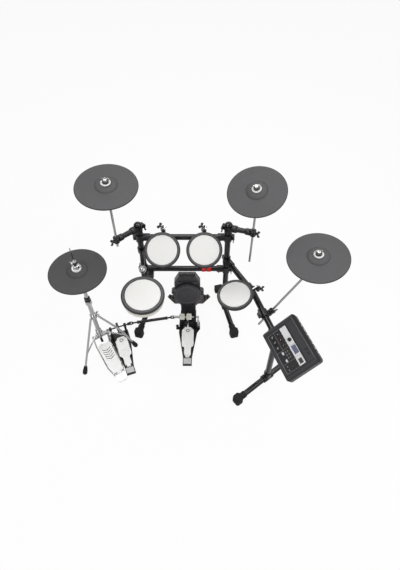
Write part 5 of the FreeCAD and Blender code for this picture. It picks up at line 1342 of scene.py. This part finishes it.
@dataclass
class Kick(Assembly):
    """Kick pad, tower and base."""

    at: Triple = (0.010, -0.018, 0.262)
    lean: float = 7.0
    radius: float = 0.093
    boss: Triple = (0.054, 0.1048, -0.0238)
    washer: Outline = ((0.0052, 0.0), (0.0104, 0.0), (0.0104, 0.0016), (0.0096, 0.0024), (0.0052, 0.0024))

    def build(self) -> None:
        """Dresses the kick and puts a washer on each boss of its tower."""
        lean = math.radians(self.lean)
        disc = Disc(self.at, (0.0, -math.cos(lean), math.sin(lean)), self.radius)
        across, up, level = self.boss
        collars = Form("kick_boss_collars")
        for side in (-1, 1):
            shift = Matrix.Translation((side * across, up, level))
            collars.turned(self.washer, disc.place() @ shift, steps=32)
        grey = Moulded("collar_grey", (0.06, 0.06, 0.067), 0.4).make()
        collars.done(grey, Body.RACK, Slot.KICK, round_by=0.0003)
        self.dress(KickRubber("kick_rubber", (0.05, 0.049, 0.056), disc), "kick_pad")
        self.dress(Moulded("kick_plastic", (0.02, 0.02, 0.023), 0.36, 900.0), "kick_tower")
        self.dress(PowderCoat("kick_plate", (0.03, 0.026, 0.022), 0.34), "kick_base")


@dataclass(frozen=True)
class Pedal:
    """One pedal: its name, its heel end on the floor, its turn in degrees and its board's body."""

    name: str
    heel: Triple
    turn: float
    body: Body

    def ahead(self) -> Triple:
        """Direction of the pedal's toe."""
        turn = math.radians(self.turn)
        return (-math.sin(turn), math.cos(turn), 0.0)


@dataclass
class Pedals(Assembly):
    """The double pedal: two frames, two boards, chains, beaters and the shaft between them."""

    main: Pedal = Pedal("main", (0.010, -0.432, 0.0), 0.0, Body.PEDAL)
    slave: Pedal = Pedal("slave", (-0.370, -0.497, 0.0), 20.5, Body.SLAVE)
    silver: Colour = (0.92, 0.92, 0.91)
    rise: float = 8.3
    ring: tuple[float, ...] = (0.0072, 0.0122, -0.0002, 0.001)
    ring_run: float = 0.196
    tread: Pair = (0.0262, 0.0395)
    tread_start: Pair = (0.006, 0.01728)
    tread_slope: float = 8.31
    tread_lead: float = 0.003
    tread_corner: float = 0.002
    tread_heights: Pair = (-0.0004, 0.0007)
    ribs: int = 9
    rib_start: float = 0.0055
    rib_pitch: float = 0.0043
    rib_inset: float = 0.0015
    rib_edge: Pair = (0.0010, 0.0006)
    rib_heights: Pair = (0.0005, 0.0014)
    beater: Triple = (0.0095, 0.021, 0.018)
    beater_dish: float = 0.93
    beater_bulge: float = 1.005
    core_bore: float = 0.0024
    core_grip: float = 0.0004
    core_share: float = 0.9
    spur: Pair = (0.0775, 0.304)
    spur_foot: Triple = (0.016, 0.0105, 0.004)
    spur_foot_back: float = 0.006
    spur_foot_heights: Pair = (0.0042, 0.0105)
    spur_nut: tuple[float, ...] = (0.003, 0.0078, 0.0108, 0.0168)
    spur_bolt: Outline = ((0.0006, 0.0008), (0.0012, 0.0008), (0.0038, 0.0045), (0.0038, 0.05),
                          (0.0006, 0.05))
    spur_knob: Outline = ((0.003, 0.03), (0.0085, 0.03), (0.0105, 0.033), (0.0105, 0.042), (0.0085, 0.045),
                          (0.003, 0.045))
    shaft_root: Triple = (-0.3990, -0.1566, 0.118)
    shaft_way: Triple = (0.9849, 0.1731, 0.0)
    sleeve: Outline = ((0.0055, 0.050), (0.0125, 0.050), (0.0125, 0.060), (0.0105, 0.062), (0.0105, 0.255),
                       (0.0120, 0.257), (0.0120, 0.267), (0.0055, 0.267))

    def heel_tread(self, pedal: Pedal, finish: Material) -> None:
        """Lays a ribbed grip plate on a heel plate.

        Args:
            pedal: The pedal.
            finish: The plate's finish.
        """
        half, length = self.tread
        ahead = pedal.ahead()
        flat = place_at(pedal.heel, (ahead[1], -ahead[0], 0.0), Z_AXIS)
        slope = Matrix.Rotation(math.radians(self.tread_slope), 4, "X")
        place = flat @ Matrix.Translation((0.0, *self.tread_start)) @ slope
        plate = Form(pedal.name + "_heel_tread")
        sheet = oval(0, self.tread_lead + length / 2, half, length / 2, self.tread_corner)
        plate.prism(sheet, *self.tread_heights, place)
        for i in range(self.ribs):
            run = self.rib_start + self.rib_pitch * i
            rib = oval(0, run, half - self.rib_inset, *self.rib_edge, steps=2)
            plate.prism(rib, *self.rib_heights, place)
        plate.done(finish, Body.RACK, Slot.BOARD, round_by=0.0002)

    def toe_ring(self, pedal: Pedal, finish: Material) -> None:
        """Raises a plain ring near a board's toe.

        Args:
            pedal: The pedal.
            finish: The ring's finish.
        """
        board = on_board(pedal.heel, pedal.ahead(), self.rise)
        ring = Form(pedal.name + "_toe_ring")
        ring.turned(pipe(*self.ring), board @ Matrix.Translation((0.0, self.ring_run, 0.0)), steps=40)
        ring.done(finish, pedal.body, Slot.BOARD, round_by=0.0003)

    def beater_felt(self, node: str, body: Body, wool: Material, core: Material) -> None:
        """Builds a round felt on a moulded core in place of a plain one.

        Args:
            node: The plain felt.
            body: The beater's body.
            wool: The felt's finish.
            core: The core's finish.
        """
        low, high = (Vector(corner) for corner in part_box(node))
        place = place_at((low + high) / 2, Y_AXIS, X_AXIS)
        inner, outer, half = self.beater
        sunk, bulge = half * self.beater_dish, outer * self.beater_bulge
        ring = ((inner, -sunk), (outer, -half), (bulge, 0.0), (outer, half), (inner, sunk))
        felt = Form(node + "_wool").turned(softened(ring, radius=0.006, steps=6), place, steps=48)
        felt.fuzz(0.0005, 260.0)
        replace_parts(felt.done(wool, body, Slot.CREAM_FELT, round_by=0.0001), node)
        end = half * self.core_share
        hub = pipe(self.core_bore, inner + self.core_grip, -end, end)
        plug = Form(node + "_core").turned(softened(hub, radius=0.001, steps=3), place, steps=32)
        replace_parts(plug.done(core, body, Slot.CREAM_FELT, round_by=0.0002), node)

    def spurs(self, finish: Material) -> None:
        """Sets a spur bolt with a nut and a knurled knob at each front corner of the main pedal.

        Args:
            finish: The spurs' finish.
        """
        form = Form("pedal_spurs")
        across, ahead = self.spur
        for side in (-1, 1):
            place = Matrix.Translation(Vector(self.main.heel) + Vector((side * across, ahead, 0.0)))
            foot = oval(-side * self.spur_foot_back, 0, *self.spur_foot)
            form.prism(foot, *self.spur_foot_heights, place)
            form.turned(self.spur_bolt, place, steps=20)
            form.turned(pipe(*self.spur_nut), place, steps=6)
            form.turned(self.spur_knob, place, steps=14)
        form.done(finish, Body.RACK, Slot.BOLT, round_by=0.0005)

    def shaft_sleeve(self, finish: Material) -> None:
        """Slides the outer tube with its two clamp rings over the drive shaft.

        Args:
            finish: The tube's finish.
        """
        place = place_at(self.shaft_root, Z_AXIS, self.shaft_way)
        tube = Form("shaft_sleeve").turned(softened(self.sleeve, radius=0.0008, steps=2), place, steps=36)
        tube.done(finish, Body.SHAFT, Slot.TUBE, round_by=0.0003)

    def build(self) -> None:
        """Dresses the pedals and adds their trim."""
        self.dress(FootPlate("main_board", self.silver, self.main.ahead()), "pedal_footboard")
        self.dress(FootPlate("slave_board", self.silver, self.slave.ahead()), "slave_footboard")
        self.dress(PowderCoat("pedal_black", (0.01, 0.01, 0.011), 0.34, 420.0), "pedal_frame", "slave_frame")
        self.dress(Plate("pedal_steel", (0.34, 0.34, 0.35), 0.22), "pedal_chain", "main_beater", "aux_beater")
        self.dress(Plate("spring_steel", (0.4, 0.4, 0.41), 0.14), "pedal_spring", "slave_spring")
        shaft = self.dress(PowderCoat("shaft_black", (0.008, 0.008, 0.009), 0.26),
                           "drive_shaft", "slave_axle", "slave_chain")
        self.spurs(shaft)
        self.shaft_sleeve(shaft)
        wool = Felt("cream_felt", (0.7, 0.68, 0.61)).make()
        core = Moulded("beater_core", (0.03, 0.03, 0.032), 0.45).make()
        self.beater_felt("main_beater_felt", Body.MAIN_BEATER, wool, core)
        self.beater_felt("aux_beater_felt", Body.AUX_BEATER, wool, core)
        grip = Moulded("tread_grey", (0.56, 0.56, 0.555), 0.45, 900.0).make()
        self.heel_tread(self.main, grip)
        self.heel_tread(self.slave, grip)
        ring = Moulded("ring_grey", (0.03, 0.03, 0.032), 0.4).make()
        self.toe_ring(self.main, ring)
        self.toe_ring(self.slave, ring)


@dataclass
class HiHat(Assembly):
    """The hi-hat stand, its pull rod and its footboard with raised chevrons."""

    heel: Triple = (-0.420, -0.545, 0.0)
    stand: Triple = (-0.586, -0.284, 0.0)
    rod: float = 0.0125
    chrome: Colour = (0.37, 0.37, 0.375)
    silver: Colour = (0.92, 0.92, 0.915)
    bushings: tuple[Pair, ...] = ((0.5892, 0.624), (0.826, 0.84))
    rise: float = 17.0
    chevrons: int = 5
    first: float = 0.111
    pitch: float = 0.0163
    reach: float = 0.030
    run: float = 0.014
    stroke: float = 0.0042
    heights: Pair = (-0.0004, 0.0011)

    def chevron_marks(self, ahead: Triple) -> None:
        """Raises the row of chevrons on the board.

        Args:
            ahead: Direction of the board's toe.
        """
        place = on_board(self.heel, ahead, self.rise)
        marks = Form("hihat_chevrons")
        wide, stroke = self.reach, self.stroke
        for i in range(self.chevrons):
            low = self.first + self.pitch * i
            high = low + self.run
            outline = ((0, low), (wide, high), (wide, high + stroke), (0, low + stroke),
                       (-wide, high + stroke), (-wide, high))
            marks.prism(outline, *self.heights, place)
        grey = Moulded("chevron_grey", (0.05, 0.05, 0.052), 0.4).make()
        marks.done(grey, Body.HIHAT_PEDAL, Slot.BOARD, round_by=0.0002)

    def build(self) -> None:
        """Dresses the stand and adds its trim."""
        ahead = tuple((Vector(self.stand) - Vector(self.heel)).normalized())
        self.dress(BandedChrome("stand_chrome", self.chrome, self.bushings), "hihat_stand")
        self.dress(Plate("leg_chrome", self.chrome, 0.1), "hihat_legs")
        self.dress(ClutchRod("rod_chrome", self.chrome, Disc(self.stand, Z_AXIS, self.rod)), "hihat_rod")
        self.dress(HeelAndChrome("frame_chrome", self.chrome, self.heel, ahead), "hihat_frame")
        self.dress(FootPlate("hihat_board", self.silver, ahead), "hihat_footboard")
        self.chevron_marks(ahead)


@dataclass
class Module(Assembly):
    """The sound module: case, panel, screen, knobs, keys and jacks."""

    at: Triple = (0.576, -0.6805, 0.690)
    turn: float = -69.0
    tilt: float = 38.0
    knobs: tuple[tuple[Body, Pair], ...] = (
        (Body.KNOB_A1, (-0.094, -0.042)), (Body.KNOB_A2, (-0.058, -0.042)), (Body.KNOB_A3, (-0.022, -0.042)),
        (Body.KNOB_B1, (-0.094, -0.004)), (Body.KNOB_B2, (-0.058, -0.004)), (Body.KNOB_B3, (-0.022, -0.004)))
    print_back: float = 0.0125
    ring: float = 0.0097
    keys: tuple[Pair, ...] = ((0.013, -0.001), (0.031, -0.001), (0.049, -0.001), (0.013, -0.0145),
                              (0.031, -0.0145), (0.049, -0.0145), (0.088, -0.044), (0.109, -0.044))
    key_size: Triple = (0.0052, 0.003, 0.0014)
    pad_keys: tuple[Pair, ...] = ((0.0915, 0.0325), (0.1055, 0.0325), (0.0915, 0.0425), (0.1055, 0.0425))
    pad_key_size: Triple = (0.0062, 0.0042, 0.001)
    key_foot: float = -0.0015
    phones: Triple = (0.1, -0.018, -0.001)
    phones_ring: Outline = ((0.0034, -0.0004), (0.0062, -0.0004), (0.0062, 0.0018), (0.0052, 0.0024),
                            (0.0034, 0.0012))
    jacks: int = 8
    jack_first: Triple = (-0.105, 0.1296, -0.036)
    jack_pitch: float = 0.03
    jack: tuple[float, ...] = (0.0034, 0.0062, 0.0, 0.0032)
    pointer_heights: Pair = (0.0118, 0.01265)
    pointer_size: Triple = (0.0009, 0.0024, 0.0006)
    pointer_out: float = 0.0026

    def key_set(self, name: str, spots: Sequence[Pair], size: Triple, top: float, finish: Finish,
                place: Matrix) -> None:
        """Sets one kind of key in the panel.

        Args:
            name: The piece's name.
            spots: The keys' middles on the panel.
            size: Half their length, half their width and their corner.
            top: How far they stand out.
            finish: Their finish.
            place: The panel's place.
        """
        keys = Form(name)
        for x, y in spots:
            keys.prism(oval(x, y, *size), self.key_foot, top, place)
        keys.done(finish.make(), Body.MODULE, Slot.KEY)

    def sockets(self, place: Matrix) -> None:
        """Sets the headphone socket in the panel, and a row of jack collars along the back of the case.

        Args:
            place: The panel's place.
        """
        phones = Form("phones_socket")
        phones.turned(self.phones_ring, place @ Matrix.Translation(self.phones), steps=28)
        black = Moulded("socket_black", (0.009, 0.009, 0.009), 0.3).make()
        phones.done(black, Body.MODULE, Slot.KNOB, round_by=0.0002)
        jacks = Form("module_jacks")
        across, climb = place.col[0].xyz, place.col[1].xyz
        for i in range(self.jacks):
            spot = place @ Vector(self.jack_first) + across * (self.jack_pitch * i)
            jacks.turned(pipe(*self.jack), place_at(spot, across, climb), steps=20)
        nickel = Plate("jack_nickel", (0.5, 0.5, 0.5), 0.25).make()
        jacks.done(nickel, Body.MODULE, Slot.CHROME, round_by=0.0003)

    def pointers(self, place: Matrix) -> None:
        """Marks each knob's pointer.

        Args:
            place: The panel's place.
        """
        white = Moulded("pointer_white", (0.7, 0.7, 0.7), 0.5).make()
        for knob, (x, y) in self.knobs:
            mark = Form(knob.value + "_mark")
            mark.prism(oval(x, y + self.pointer_out, *self.pointer_size, steps=2),
                       *self.pointer_heights, place)
            mark.done(white, knob, Slot.KNOB, round_by=0.0001)

    def build(self) -> None:
        """Dresses the module and adds its trim."""
        turn, tilt = math.radians(self.turn), math.radians(self.tilt)
        along = Vector((math.cos(turn), math.sin(turn), 0.0))
        level = Vector((-math.sin(turn), math.cos(turn), 0.0))
        climb = level * math.cos(tilt) + Vector(Z_AXIS) * math.sin(tilt)
        normal = along.cross(climb)
        place = place_at(self.at, along, normal)
        panel = (self.at, tuple(along), tuple(climb))
        self.dress(CaseShell("case_grey", (0.026, 0.0262, 0.03), *panel), "module_case")
        rings = tuple(Disc(tuple(place @ Vector((*spot, 0.0))), tuple(normal), self.ring)
                      for _, spot in self.knobs[3:])
        prints = tuple((x - self.print_back, y) for _, (x, y) in self.knobs[:3])
        self.dress(PanelFace("panel_face", (0.008, 0.0076, 0.009), *panel, prints, rings), "module_panel")
        self.dress(ScreenGlass("screen_blue", (0.075, 0.085, 0.15), *panel), "module_screen")
        knobs = [knob.value for knob, _ in self.knobs]
        self.dress(Rubber("knob_rubber", (0.016, 0.016, 0.016)), *knobs, "data_dial")
        self.dress(Moulded("button_pale", (0.6, 0.6, 0.6), 0.4), "play_button", "stop_button")
        grey = Moulded("key_grey", (0.11, 0.11, 0.115))
        self.key_set("module_keys", self.keys, self.key_size, 0.0011, grey, place)
        black = Moulded("key_black", (0.018, 0.018, 0.019), 0.35)
        self.key_set("module_pad_keys", self.pad_keys, self.pad_key_size, 0.0008, black, place)
        self.sockets(place)
        self.pointers(place)


def main() -> None:
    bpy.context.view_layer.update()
    nodes = frame["nodes"]
    Studio().build()
    for assembly in (Rack, Cymbals, DrumPads, Kick, Pedals, HiHat, Module):
        log.info("dressing %s", assembly.__name__)
        assembly(nodes).build()
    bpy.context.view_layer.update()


if __name__ == "__main__":
    main()
